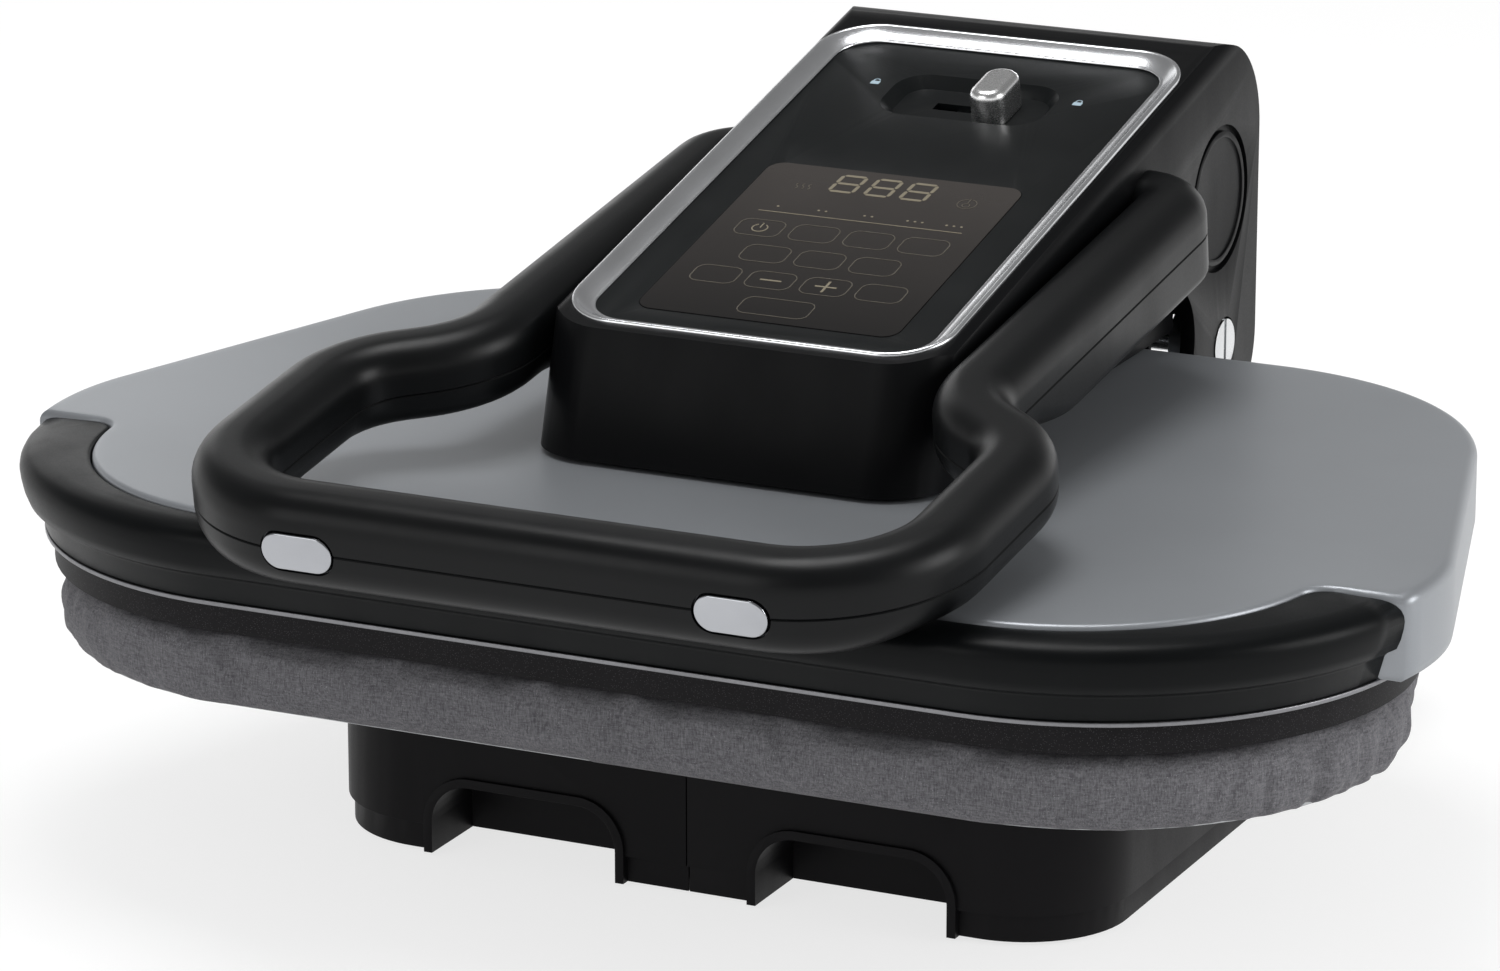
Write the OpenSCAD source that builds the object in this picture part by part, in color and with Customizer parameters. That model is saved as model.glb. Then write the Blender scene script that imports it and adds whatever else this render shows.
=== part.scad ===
// Table-top steam ironing press. A padded board lies on a black base, a heated plate hangs
// under a hinged head with a sloping control panel, and a loop handle carries two push buttons.
// Millimetres, +X to the operator's right, +Y to the back, +Z up, table at zero.

/* [Plate] */
// Width of the heated plate at its widest point
plate_w = 638; // [600:2:680]
// Depth of the heated plate from front rim to back edge
plate_d = 423; // [423:1:440]
// Height of the plate's cover and rim
plate_h = 36; // [34:1:40]
// Radius of the plate's front corners
front_r = 150; // [130:2:150]
// Width of the front rim seen from above
rim_w = 19; // [16:1:23]
// Radius along the plate's top edge
top_edge = 5; // [3:0.5:7]
// Height of the sole plate
sole_h = 12.5; // [11:0.5:15]

/* [Board and base] */
// Height of the base under the board
base_h = 90; // [84:1:100]
// Height of the padded board
board_h = 34; // [30:1:38]
// Half width of the base at its front
base_hw = 183; // [170:1:200]
// Distance the base's front stands behind the plate's front edge
base_set = 115; // [100:1:125]
// Width of each grip arch
arch_w = 88; // [76:1:96]
// Height of each grip arch
arch_h = 34; // [28:1:40]
// Depth of each grip arch
arch_deep = 36; // [28:1:44]

/* [Head] */
// Half width of the head
head_hw = 95; // [90:1:100]
// Height of the head's front edge above the plate
head_rise = 57.5; // [52:0.5:64]
// Slope of the control panel in degrees
panel_tilt = 13; // [11:0.5:15]
// Distance of the hinge axis behind the plate's back edge
hinge_back = 62; // [58:1:68]
// Distance of the hinge axis below the plate's top
hinge_drop = 13; // [10:1:16]
// Radius of the head's cheeks around the hinge
cheek_r = 39; // [37:1:44]
// Diameter of the hinge axle
axle_d = 12; // [10:0.5:14]
// Largest radius at the head's upper back edge
crest_r = 46; // [40:1:52]
// Length of the bright bezel along the slope
bezel_l = 304; // [296:1:308]
// Radius of the side discs
disc_r = 31; // [27:0.5:32]

/* [Handle and controls] */
// Half width of the handle loop, measured outside
loop_hw = 181; // [172:1:190]
// Width of the handle's section
grip_w = 34; // [30:1:36]
// Height of the handle's section above its parting line
grip_up = 24; // [22:1:27]
// Height of the handle's section below its parting line
grip_low = 16; // [15:1:17]
// Distance the handle's front stands ahead of the plate
loop_reach = 44; // [42:1:50]
// Slope of the handle in degrees
loop_tilt = 10; // [9:0.5:11]
// Distance of each push button from the middle
button_x = 96.5; // [88:0.5:102]
// Length of a push button
button_l = 32; // [28:0.5:36]
// Height of a push button
button_h = 16; // [13:0.5:18]
// Travel of a push button
button_travel = 2.5; // [2:0.1:3]
// Travel of the lock knob
lock_travel = 26; // [22:0.5:28]

/* [Hidden] */
$fn = 96;
// Clearances used all over the part
run_gap = 0.05;
seam = 0.6;
slip = 0.3;
// Levels above the table
rest_gap = 0.5;
shield_t = 2;
sole_z = base_h + board_h + rest_gap;
shield_z = sole_z + sole_h;
cover_z = shield_z + shield_t;
top_z = cover_z + plate_h;
foot_lift = 2;
// Plan of the plate
plate_hw = plate_w / 2;
side_len = 255;
wide_y = plate_d - side_len;
back_hw = plate_hw - side_len * 7 / 24;
plate_pts = [[-plate_hw, 0], [plate_hw, 0], [plate_hw, wide_y], [back_hw, plate_d],
    [-back_hw, plate_d], [-plate_hw, wide_y]];
side_r = 126;
back_r = 130;
plate_rad = [front_r, front_r, side_r, back_r, back_r, side_r];
wall = 3;
// Lower band of the rim's side, set back under the upper one
skirt_h = 13;
skirt_in = 4;
// Inner edge of the rim
rim_side = 42;
rim_end = 120;
inner_hw = plate_hw - rim_side;
inner_r = front_r - 40;
notch_r = 12;
inner_cx = inner_hw - inner_r;
inner_cy = rim_w + inner_r;
// Middle of the curled notch, a little inside the arc it grows from
notch_y = rim_end - notch_r;
notch_x = inner_cx + sqrt(pow(inner_r, 2) - pow(inner_cy - notch_y, 2)) + notch_r - 1;
// Head
hinge_y = plate_d + hinge_back;
hinge_z = top_z - hinge_drop;
head_lift = 2;
head_z = top_z + head_lift;
head_y = 145;
head_lean = atan2(7, 24);
bezel_y = 166;
bezel_z = top_z + head_rise;
bezel_hw = head_hw - 6;
lip = 4;
column_y = hinge_y - cheek_r;
rear_y = hinge_y + cheek_r;
cheek_t = 7;
disc_z = top_z + 58;
disc_y = hinge_y - 9;
disc_deep = 2.5;
pivot_r = 12;
bush_r = 10;
axle_r = axle_d / 2;
// Handle, in its own tilted frame with the front bar's middle at the origin
loop_z = top_z + 12;
loop_y = grip_w / 2 - loop_reach;
side_x = loop_hw - grip_w / 2;
arm_x = head_hw + grip_w / 2;
corner_r = 41;
side_run = 45;
s_rise = 0.8;
s_side = 0.6;
s_angle = atan2(s_rise, s_side);
s_mid = 10;
s_r = (side_x - arm_x - s_mid * s_rise) / (2 * (1 - s_side));
s_run = 2 * s_r * s_rise + s_mid * s_side;
arm_start = corner_r + side_run + s_run;
arm_end = 389;
grip_r = 14;
grip_t = 3.5;
// Lower half of the arms, deeper and squarer than the front bar
keel_low = 21.5;
keel_in = 0.4;
keel_run = 60;
// Overall depth, for the frame's origin
front_y = loop_y - (grip_w / 2 - grip_r) * cos(loop_tilt) - (grip_up - grip_r) * sin(loop_tilt) - grip_r;
mid_y = (front_y + rear_y) / 2;
// Hinge bracket
ear_x = 74;
ear_t = 8;
ear_r = 17;
flange_t = 5;
bolt_xs = [-45, 45];
bolt_ys = [column_y + 8, rear_y - 22];
// Base
base_pts = [[-base_hw, base_set], [base_hw, base_set], [base_hw, rear_y - 12], [-base_hw, rear_y - 12]];
base_rad = [50, 50, 30, 30];
base_wall = 4;
arch_x = 77;
arch_r = 18;
ledge_z = 14;
ledge_in = 2.5;
floor_z = 6;
floor_t = 3;
boss_r = 6;
screw_r = 2;
foot_r = 12;
base_bosses = [[150, base_set + 110], [60, base_set + 190], [150, rear_y - 70]];
foot_spots = [[base_hw - 40, base_set + 62], [base_hw - 46, rear_y - 45]];
// Board
board_in = 23;
tray_t = 6;
pad_top = base_h + board_h - 4;
// Control panel, in the panel's tilted frame
panel_hw = bezel_hw - 6;
panel_t = 3;
seat_w = -4;
glass_hw = 61;
glass_u0 = 24;
glass_u1 = 168;
glass_t = 2;
dish_hw = 40;
dish_u0 = bezel_l - 78;
dish_u1 = bezel_l - 36;
dish_deep = 5;
slot_u = (dish_u0 + dish_u1) / 2;
stem_x = 8;
stem_u = 6;
knob_x = 17;
knob_u = 30;
knob_h = 16;
lock_rest = lock_travel / 2;
dish_floor = seat_w - dish_deep;
tub_under = dish_floor - 3;
board_w = -22;
post_spots = [[-60, 40], [60, 40], [-60, 190], [60, 190]];
loop_posts = [[-45, 0, 0], [45, 0, 0], [-arm_x, 300, 0], [arm_x, 300, 0]];

function cross2(a, b) = a[0] * b[1] - a[1] * b[0];
function left2(a) = [-a[1], a[0]];
function wrap(i, n) = (i + n) % n;
function edge_dir(p, i) = (p[wrap(i + 1, len(p))] - p[i]) / norm(p[wrap(i + 1, len(p))] - p[i]);
function last_dir(p, i) = edge_dir(p, wrap(i - 1, len(p)));
function inset_corner(p, i, d) = p[i] + d / cross2(last_dir(p, i), edge_dir(p, i)) * (edge_dir(p, i) - last_dir(p, i));
function inset(p, d) = [for (i = [0 : len(p) - 1]) inset_corner(p, i, d)];
function less(r, d) = [for (q = r) max(0.5, q - d)];
function turn(p, i) = acos(last_dir(p, i) * edge_dir(p, i));
function reach(p, r, i) = r[i] * tan(turn(p, i) / 2);
function arc_start(p, r, i) = p[i] - last_dir(p, i) * reach(p, r, i);
function arc_end(p, r, i) = p[i] + edge_dir(p, i) * reach(p, r, i);
function arc_mid(p, r, i) = arc_start(p, r, i) + left2(last_dir(p, i)) * r[i];
function heading(v) = atan2(v[1], v[0]);
function block(hw, u0, u1) = [[-hw, u0], [hw, u0], [hw, u1], [-hw, u1]];
function even(r) = [r, r, r, r];

// Plan outline with true corner arcs
module rounded(p, r) {
    polygon([for (i = [0 : len(p) - 1]) each [arc_start(p, r, i), arc_end(p, r, i)]]);
    for (i = [0 : len(p) - 1])
        translate(arc_mid(p, r, i)) circle(r[i]);
}

// Plan outline drawn in by one distance all round
module drawn_in(p, r, d) {
    rounded(inset(p, d), less(r, d));
}

// Section of a slab's border with a round upper edge
module border(d, h, e) {
    square([d - e, h]);
    square([d, h - e]);
    translate([d - e, h - e]) circle(e);
}

function right2(a) = [a[1], -a[0]];

// Slab with true corner arcs and a round upper edge
module soft_slab(p, r, h, e) {
    strip = e + 1.5;
    linear_extrude(h) drawn_in(p, r, e + 0.5);
    for (i = [0 : len(p) - 1]) {
        translate(arc_mid(p, r, i)) intersection() {
            rotate_extrude() border(r[i], h, e);
            translate([0, 0, -1]) linear_extrude(h + 2)
                polygon(2 * r[i] * [[0, 0], right2(last_dir(p, i)), right2(last_dir(p, i)) + right2(edge_dir(p, i)),
                    right2(edge_dir(p, i))]);
        }
        translate(arc_end(p, r, i))
            rotate(heading(edge_dir(p, i)))
                rotate([90, 0, 90])
                    linear_extrude(norm(arc_start(p, r, wrap(i + 1, len(p))) - arc_end(p, r, i)))
                        mirror([1, 0]) translate([-strip, 0]) border(strip, h, e);
    }
}

// Puts a piece drawn from the plate's front edge into the part's frame
module place() {
    translate([0, -mid_y, 0]) children();
}

// Frame of the control panel, at the bezel's front edge
module on_panel() {
    place() translate([0, bezel_y, bezel_z]) rotate([panel_tilt, 0, 0]) children();
}

// Frame of the handle, at the middle of its front bar
module on_loop() {
    place() translate([0, loop_y, loop_z]) rotate([loop_tilt, 0, 0]) children();
}

// Prism standing in the panel's frame between two levels
module plate_between(w0, w1) {
    translate([0, 0, w0]) linear_extrude(w1 - w0) children();
}

// Side view drawn as back and up, carried across the width
module across(x0, x1) {
    translate([x0, 0, 0]) rotate([90, 0, 90]) linear_extrude(x1 - x0) children();
}

// Base and board

module base_form(d, z0, z1) {
    translate([0, 0, z0]) linear_extrude(z1 - z0) drawn_in(base_pts, base_rad, d);
}

module arch_view(grow) {
    rounded([[-arch_w / 2 - grow, -20], [arch_w / 2 + grow, -20], [arch_w / 2 + grow, arch_h + grow],
        [-arch_w / 2 - grow, arch_h + grow]], [1, 1, arch_r + grow, arch_r + grow]);
}

module arch_block(grow, y0, y1) {
    translate([arch_x, y1, 0]) rotate([90, 0, 0]) linear_extrude(y1 - y0) arch_view(grow);
}

module base_half() {
    difference() {
        union() {
            difference() {
                union() {
                    base_form(0, ledge_z, base_h);
                    base_form(ledge_in, foot_lift, ledge_z + 1);
                }
                base_form(base_wall + ledge_in, foot_lift - 1, base_h - base_wall);
            }
            intersection() {
                arch_block(base_wall, base_set - 2, base_set + arch_deep + base_wall);
                translate([0, base_set - 2, foot_lift]) cube([base_hw, arch_deep + 20, base_h - foot_lift - 2]);
            }
            for (p = base_bosses)
                translate([p[0], p[1], floor_z + floor_t])
                    cylinder(r = boss_r, h = base_h - floor_z - floor_t - 1);
        }
        arch_block(0, base_set - 5, base_set + arch_deep);
        for (p = base_bosses)
            translate([p[0], p[1], 0]) cylinder(r = screw_r + run_gap, h = 45);
        for (y = bolt_ys)
            translate([bolt_xs[1], y, base_h - 20]) cylinder(r = 3 + run_gap, h = 40);
        translate([seam / 2 - base_hw * 2, 0, -1]) cube([base_hw * 2, rear_y * 2, base_h * 2]);
    }
}

module base_right() {
    color("#17171a") place() base_half();
}

module base_left() {
    color("#17171a") place() mirror([1, 0, 0]) base_half();
}

module base_floor() {
    color("#2a2a2c") place() translate([0, 0, floor_z]) linear_extrude(floor_t) difference() {
        drawn_in(base_pts, base_rad, base_wall + ledge_in);
        for (s = [-1, 1]) {
            translate([s * arch_x - arch_w / 2 - base_wall, 0])
                square([arch_w + 2 * base_wall, base_set + arch_deep + base_wall]);
            for (p = base_bosses)
                translate([s * p[0], p[1]]) circle(screw_r + run_gap);
        }
    }
}

module base_feet() {
    color("#0d0d0d") place() for (s = [-1, 1], p = foot_spots)
        translate([s * p[0], p[1], 0]) {
            cylinder(r = foot_r - 1, h = floor_z);
            translate([0, 0, 1]) cylinder(r = foot_r, h = floor_z - 1);
        }
}

module base_screws() {
    color("#8d8f92") place() for (s = [-1, 1], p = base_bosses)
        translate([s * p[0], p[1], 0]) difference() {
            union() {
                translate([0, 0, floor_z - 2]) cylinder(r = 2 * screw_r, h = 2);
                translate([0, 0, floor_z - 1]) cylinder(r = screw_r, h = 34);
            }
            for (a = [0, 90])
                rotate(a) translate([-1.5 * screw_r, -0.4, floor_z - 3]) cube([3 * screw_r, 0.8, 2.2]);
        }
}

module board_tray() {
    color("#9a9da0") place() translate([0, 0, base_h]) difference() {
        linear_extrude(tray_t) drawn_in(plate_pts, plate_rad, board_in);
        translate([0, 0, 2]) linear_extrude(tray_t) drawn_in(plate_pts, plate_rad, board_in + 3);
    }
}

module board_foam() {
    color("#d9d2bd") place() {
        translate([0, 0, base_h + tray_t]) linear_extrude(pad_top - base_h - tray_t)
            drawn_in(plate_pts, plate_rad, board_in);
        translate([0, 0, base_h + 2]) linear_extrude(tray_t - 1)
            drawn_in(plate_pts, plate_rad, board_in + 3);
    }
}

// Points round the board's outline, drawn in by a distance
function arc_pts(p, r, i, n) = [for (k = [0 : n]) arc_mid(p, r, i)
    + r[i] * [cos(heading(last_dir(p, i)) - 90 + turn(p, i) * k / n), sin(heading(last_dir(p, i)) - 90 + turn(p, i) * k / n)]];
function run_pts(a, b, n) = [for (k = [1 : n - 1]) a + (b - a) * k / n];
arc_steps = [20, 20, 4, 14, 14, 4];
run_steps = [14, 2, 4, 10, 4, 2];
function outline_pts(p, r) = [for (i = [0 : len(p) - 1]) each concat(arc_pts(p, r, i, arc_steps[i]),
    run_pts(arc_end(p, r, i), arc_start(p, r, wrap(i + 1, len(p))), run_steps[i]))];
// Cloth profile from the lower hem over the bulge to the crown, as distance in and height
cloth = [[21, 0.6], [18.2, 3.5], [16.4, 9], [15.6, 16], [16.2, 23], [18.6, 28], [24, 31.2], [40, 33], [75, 34]];
cloth_n = len(outline_pts(plate_pts, plate_rad));
function gather(j, k) = (k == 1 || k == 2 || k == 3) ? 0.9 * sin(j * 83) * (4 - k) / 3 : 0;
cloth_pts = [for (k = [0 : len(cloth) - 1]) let (o = outline_pts(inset(plate_pts, cloth[k][0]), less(plate_rad, cloth[k][0])),
    c = [0, plate_d / 2]) each [for (j = [0 : cloth_n - 1])
    [o[j][0] * (1 + gather(j, k) / plate_hw), c[1] + (o[j][1] - c[1]) * (1 + gather(j, k) / c[1]),
    base_h + cloth[k][1] * board_h / 34]]];
cloth_sides = [for (k = [0 : len(cloth) - 2], j = [0 : cloth_n - 1]) each [
    [k * cloth_n + j, (k + 1) * cloth_n + j, (k + 1) * cloth_n + wrap(j + 1, cloth_n)],
    [k * cloth_n + j, (k + 1) * cloth_n + wrap(j + 1, cloth_n), k * cloth_n + wrap(j + 1, cloth_n)]]];
cloth_caps = [[for (j = [0 : cloth_n - 1]) j],
    [for (j = [0 : cloth_n - 1]) len(cloth) * cloth_n - 1 - j]];

module board_cover() {
    color("#55565a") place() difference() {
        polyhedron(cloth_pts, concat(cloth_sides, cloth_caps), convexity = 4);
        translate([0, 0, base_h - 1]) linear_extrude(pad_top - base_h + 1)
            drawn_in(plate_pts, plate_rad, board_in);
    }
}

// Hinge

module ear_view() {
    translate([hinge_y - ear_r, base_h]) square([2 * ear_r, hinge_z - base_h]);
    translate([hinge_y, hinge_z]) circle(ear_r);
}

module axle_bar(r, x0, x1) {
    translate([x0, hinge_y, hinge_z]) rotate([0, 90, 0]) cylinder(r = r, h = x1 - x0);
}

module hinge_bracket() {
    color("#6f7276") place() difference() {
        union() {
            translate([-ear_x - ear_t, column_y - 4, base_h])
                cube([2 * (ear_x + ear_t), rear_y - column_y - 8, flange_t]);
            for (s = [0, 1])
                mirror([s, 0, 0]) across(ear_x, ear_x + ear_t) ear_view();
        }
        axle_bar(axle_r + run_gap, -head_hw, head_hw);
        for (x = bolt_xs, y = bolt_ys)
            translate([x, y, base_h - 1]) cylinder(r = 3 + run_gap, h = flange_t + 2);
    }
}

module bracket_bolts() {
    color("#9b9da1") place() for (x = bolt_xs, y = bolt_ys)
        translate([x, y, base_h]) {
            translate([0, 0, flange_t]) cylinder(r = 6, h = 4, $fn = 6);
            translate([0, 0, -14]) cylinder(r = 3, h = 15 + flange_t);
        }
}

module hinge_axle() {
    color("#b3b6ba") place() difference() {
        axle_bar(axle_r, -head_hw + 3, head_hw - 3);
        axle_bar(3 + run_gap, -head_hw, -head_hw + 24);
        axle_bar(3 + run_gap, head_hw - 24, head_hw);
    }
}

module pivot_screws() {
    color("#d5d7da") place() for (s = [0, 1]) mirror([s, 0, 0]) difference() {
        union() {
            axle_bar(pivot_r, head_hw - 3 + slip, head_hw + 0.4);
            axle_bar(3, head_hw - 20, head_hw - 2);
        }
        translate([head_hw - 1.2, hinge_y - 1.4, hinge_z - pivot_r - 1]) cube([5, 2.8, 2 * pivot_r + 2]);
    }
}

// Wire wound round the axle, one leg down to the bracket and one up behind the head
coil_r = 12;
wire_r = 1.6;
coil_turns = 8;
coil_w = 64;
coil_steps = coil_turns * 16;
wire_sides = 8;
function coil_pt(i, j) = let (a = 360 * coil_turns * i / coil_steps, q = coil_r + wire_r * cos(360 * j / wire_sides))
    [-coil_w / 2 + coil_w * i / coil_steps + wire_r * sin(360 * j / wire_sides), q * cos(a), q * sin(a)];
coil_pts = [for (i = [0 : coil_steps], j = [0 : wire_sides - 1]) coil_pt(i, j)];
coil_sides = [for (i = [0 : coil_steps - 1], j = [0 : wire_sides - 1]) each [
    [i * wire_sides + j, i * wire_sides + wrap(j + 1, wire_sides), (i + 1) * wire_sides + wrap(j + 1, wire_sides)],
    [i * wire_sides + j, (i + 1) * wire_sides + wrap(j + 1, wire_sides), (i + 1) * wire_sides + j]]];
coil_caps = [[for (j = [0 : wire_sides - 1]) wire_sides - 1 - j],
    [for (j = [0 : wire_sides - 1]) coil_steps * wire_sides + j]];

module lift_spring() {
    leg_up = hinge_drop + 38;
    leg_out = cheek_r - wall - wire_r - coil_r - slip;
    color("#83868a") place() translate([0, hinge_y, hinge_z]) {
        polyhedron(coil_pts, concat(coil_sides, coil_caps), convexity = 6);
        translate([-coil_w / 2, coil_r, 0]) mirror([0, 0, 1])
            cylinder(r = wire_r, h = hinge_z - base_h - flange_t);
        translate([coil_w / 2, coil_r, 0]) rotate([-atan2(leg_out, leg_up), 0, 0])
            cylinder(r = wire_r, h = norm([leg_out, leg_up]));
    }
}

// Heated plate

module plate_form(low_in) {
    translate([0, 0, cover_z])
        linear_extrude(plate_h / 2) drawn_in(plate_pts, plate_rad, low_in);
    translate([0, 0, cover_z + skirt_h])
        for (a = [30, 60, 90])
            linear_extrude(plate_h - skirt_h - top_edge * (1 - sin(a)))
                drawn_in(plate_pts, plate_rad, top_edge * (1 - cos(a - 30)));
}

// Plan of the cover behind the rim, drawn back by a distance
module cover_plan(g) {
    rounded(inset(block(inner_hw, rim_w, rim_end + 160), g), [inner_r - g, inner_r - g, 4, 4]);
    translate([-plate_hw - 20, rim_end + g]) square([2 * plate_hw + 40, plate_d]);
    for (s = [0, 1]) mirror([s, 0]) difference() {
        translate([inner_cx, notch_y]) square([notch_x - inner_cx, notch_r + g + 1]);
        translate([notch_x, notch_y]) circle(notch_r + g);
    }
}

module plate_cover() {
    color("#7d8287") place() difference() {
        plate_form(0);
        translate([0, 0, cover_z - 1]) linear_extrude(plate_h + 2) difference() {
            translate([-plate_hw - 10, -10]) square([2 * plate_hw + 20, rim_end + 15]);
            cover_plan(seam / 2);
        }
        translate([0, 0, cover_z - 1]) linear_extrude(plate_h + 1 - wall) intersection() {
            drawn_in(plate_pts, plate_rad, top_edge + skirt_in);
            translate([-plate_hw, rim_end + wall + 1]) square([2 * plate_hw, plate_d]);
        }
        translate([0, 0, cover_z - 1]) linear_extrude(plate_h + 1 - wall)
            drawn_in(block(inner_hw, rim_w, rim_end + 60), [inner_r, inner_r, 8, 8], wall + 1);
    }
}

module plate_rim() {
    rim_t = 4;
    color("#2b2e2f") place() difference() {
        plate_form(skirt_in);
        translate([0, 0, cover_z - 1]) linear_extrude(plate_h + 2) cover_plan(-seam / 2);
        translate([0, 0, cover_z - 1]) linear_extrude(plate_h - 4) difference() {
            drawn_in(plate_pts, plate_rad, rim_t + skirt_in);
            cover_plan(-seam / 2 - rim_t);
        }
    }
}

module heat_shield() {
    color("#a4a6a9") place() translate([0, 0, shield_z]) linear_extrude(shield_t) difference() {
        drawn_in(plate_pts, plate_rad, 10);
        drawn_in(plate_pts, plate_rad, 62);
    }
}

module sole_plate() {
    sole_floor = 4;
    color("#403f43") place() translate([0, 0, sole_z]) difference() {
        linear_extrude(sole_h) drawn_in(plate_pts, plate_rad, 14);
        translate([0, 0, sole_floor]) linear_extrude(sole_h) drawn_in(plate_pts, plate_rad, 24);
        for (x = [-4 : 4], y = [0 : 3])
            translate([x * plate_w / 14 * (1 - 0.05 * y), 0.24 * plate_d + y * 0.17 * plate_d, -1])
                cylinder(r = 2.5, h = sole_h, $fn = 24);
    }
}

chamber_z = sole_z + 4;
chamber_h = 26;

module steam_chamber() {
    color("#b9bbbd") place() translate([0, 0, chamber_z]) difference() {
        linear_extrude(chamber_h) drawn_in(plate_pts, plate_rad, 70);
        translate([0, 0, -1]) linear_extrude(chamber_h - 4) drawn_in(plate_pts, plate_rad, 75);
    }
}

module heater_tube() {
    tube_r = 4;
    bend_r = 60;
    run = 150;
    color("#5e5a57") place() translate([0, plate_d / 2, chamber_z + chamber_h + tube_r]) {
        for (y = [-bend_r, bend_r])
            translate([-run, y, 0]) rotate([0, 90, 0]) cylinder(r = tube_r, h = 2 * run);
        translate([run, 0, 0]) rotate(-90) rotate_extrude(angle = 180) translate([bend_r, 0]) circle(tube_r, $fn = 32);
    }
}

// Head

crest_y = rear_y - crest_r;
function panel_line(y) = bezel_z + tan(panel_tilt) * (y - bezel_y);
function crest_z(t) = panel_line(crest_y) - crest_r / cos(panel_tilt);

// Side view of the head's upper part, drawn in by the wall
module head_view(t, low) {
    cz = crest_z(t);
    q = crest_r - t;
    translate([crest_y, cz]) circle(q);
    polygon([[head_y - 40, low], [rear_y - t, low], [rear_y - t, cz],
        [crest_y - q * sin(panel_tilt), cz + q * cos(panel_tilt)],
        [head_y - 40, panel_line(head_y - 40) - t / cos(panel_tilt)]]);
}

// Leaning prism that gives the head its front wall and round upright corners
module lean_form(t) {
    translate([0, head_y, head_z]) rotate([-head_lean, 0, 0]) translate([0, 0, -120])
        linear_extrude(420) rounded(block(head_hw - t, t / cos(head_lean), 900), [30 - t, 30 - t, 4, 4]);
}

// Prism along the panel that rounds the head's upper side edges
module ridge_form() {
    translate([0, bezel_y, bezel_z]) rotate([panel_tilt, 0, 0]) translate([0, 520, 0]) rotate([90, 0, 0])
        linear_extrude(700) rounded(block(head_hw, -420, 0), [4, 4, 9, 9]);
}

module head_form() {
    intersection() {
        lean_form(0);
        ridge_form();
        union() {
            across(-head_hw - 1, head_hw + 1) head_view(0, head_z);
            across(-head_hw - 1, head_hw + 1) {
                translate([column_y, hinge_z]) square([rear_y - column_y, head_z - hinge_z + 1]);
                translate([hinge_y, hinge_z]) circle(cheek_r);
            }
        }
    }
}

// Shallow side recess whose arc runs down into each cheek
module side_recess() {
    recess_r = 30;
    recess_drop = 3;
    recess_y = column_y + 2 - recess_r;
    across(head_hw - 10, head_hw + 5) {
        translate([head_y + 95, head_z - 1]) square([recess_y - head_y - 95, recess_r - recess_drop + 1]);
        translate([recess_y, head_z - recess_drop]) circle(recess_r);
    }
}

module head_hollow() {
    side_wall = 14;
    intersection() {
        lean_form(wall);
        union() {
            across(-head_hw + side_wall, head_hw - side_wall) head_view(wall, head_z - 5);
            intersection() {
                across(-head_hw + wall, head_hw - wall) head_view(wall, head_z + 30);
                translate([-head_hw, 0, 0]) cube([2 * head_hw, column_y - 16, 500]);
            }
            across(-head_hw + cheek_t, head_hw - cheek_t)
                translate([column_y, head_z - 1]) square([rear_y - column_y - wall, 70]);
        }
    }
    translate([-head_hw + cheek_t, column_y - 1, 0])
        cube([2 * (head_hw - cheek_t), rear_y - column_y + 10, hinge_z + 2]);
    translate([-head_hw + cheek_t, column_y - 1, hinge_z])
        cube([2 * (head_hw - cheek_t), rear_y - column_y + 1 - wall, head_z - hinge_z + 2]);
}

module head_shell() {
    color("#222426") difference() {
        place() difference() {
            head_form();
            head_hollow();
            for (s = [0, 1]) mirror([s, 0, 0]) {
                side_recess();
                translate([head_hw - disc_deep, disc_y, disc_z]) rotate([0, 90, 0])
                    cylinder(r = disc_r + 3, h = disc_deep + 5);
                axle_bar(pivot_r + 1, head_hw - 3, head_hw + 5);
                axle_bar(bush_r, head_hw - cheek_t - 1, head_hw + 5);
            }
        }
        on_panel() {
            plate_between(seat_w, 20) rounded(block(bezel_hw, 0, bezel_l), even(28));
            plate_between(-12, 20) rounded(block(panel_hw, 6, bezel_l - 6), even(22));
        }
    }
}

module head_floor() {
    floor_hw = head_hw - 14;
    apron_gap = 4;
    apron_t = 3;
    apron_h = 22;
    color("#3a3b3d") place() {
        translate([0, 0, head_z]) linear_extrude(4)
            rounded(block(floor_hw, head_y + 6, column_y - 4), [20, 20, 4, 4]);
        translate([0, 0, top_z]) linear_extrude(head_lift + 1)
            rounded(block(floor_hw - 8, head_y + 20, plate_d - 14), even(18));
        translate([-floor_hw, plate_d + apron_gap, top_z - apron_h])
            cube([2 * floor_hw, apron_t, apron_h + head_lift + 1]);
    }
}

module hinge_bushes() {
    color("#a8864a") place() for (s = [0, 1]) mirror([s, 0, 0]) difference() {
        union() {
            axle_bar(bush_r, head_hw - cheek_t - 1, head_hw - 3);
            axle_bar(bush_r + 4, head_hw - cheek_t - 2, head_hw - cheek_t);
        }
        axle_bar(axle_r + run_gap, 0, head_hw + 5);
    }
}

module side_discs() {
    color("#2a2c2e") place() for (s = [0, 1]) mirror([s, 0, 0])
        translate([head_hw - disc_deep, disc_y, disc_z]) rotate([0, 90, 0]) difference() {
            cylinder(r = disc_r, h = disc_deep - 0.3);
            translate([0, 0, disc_deep - 1.3]) cylinder(r = disc_r - 3, h = 2);
        }
}

// Controls

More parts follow.
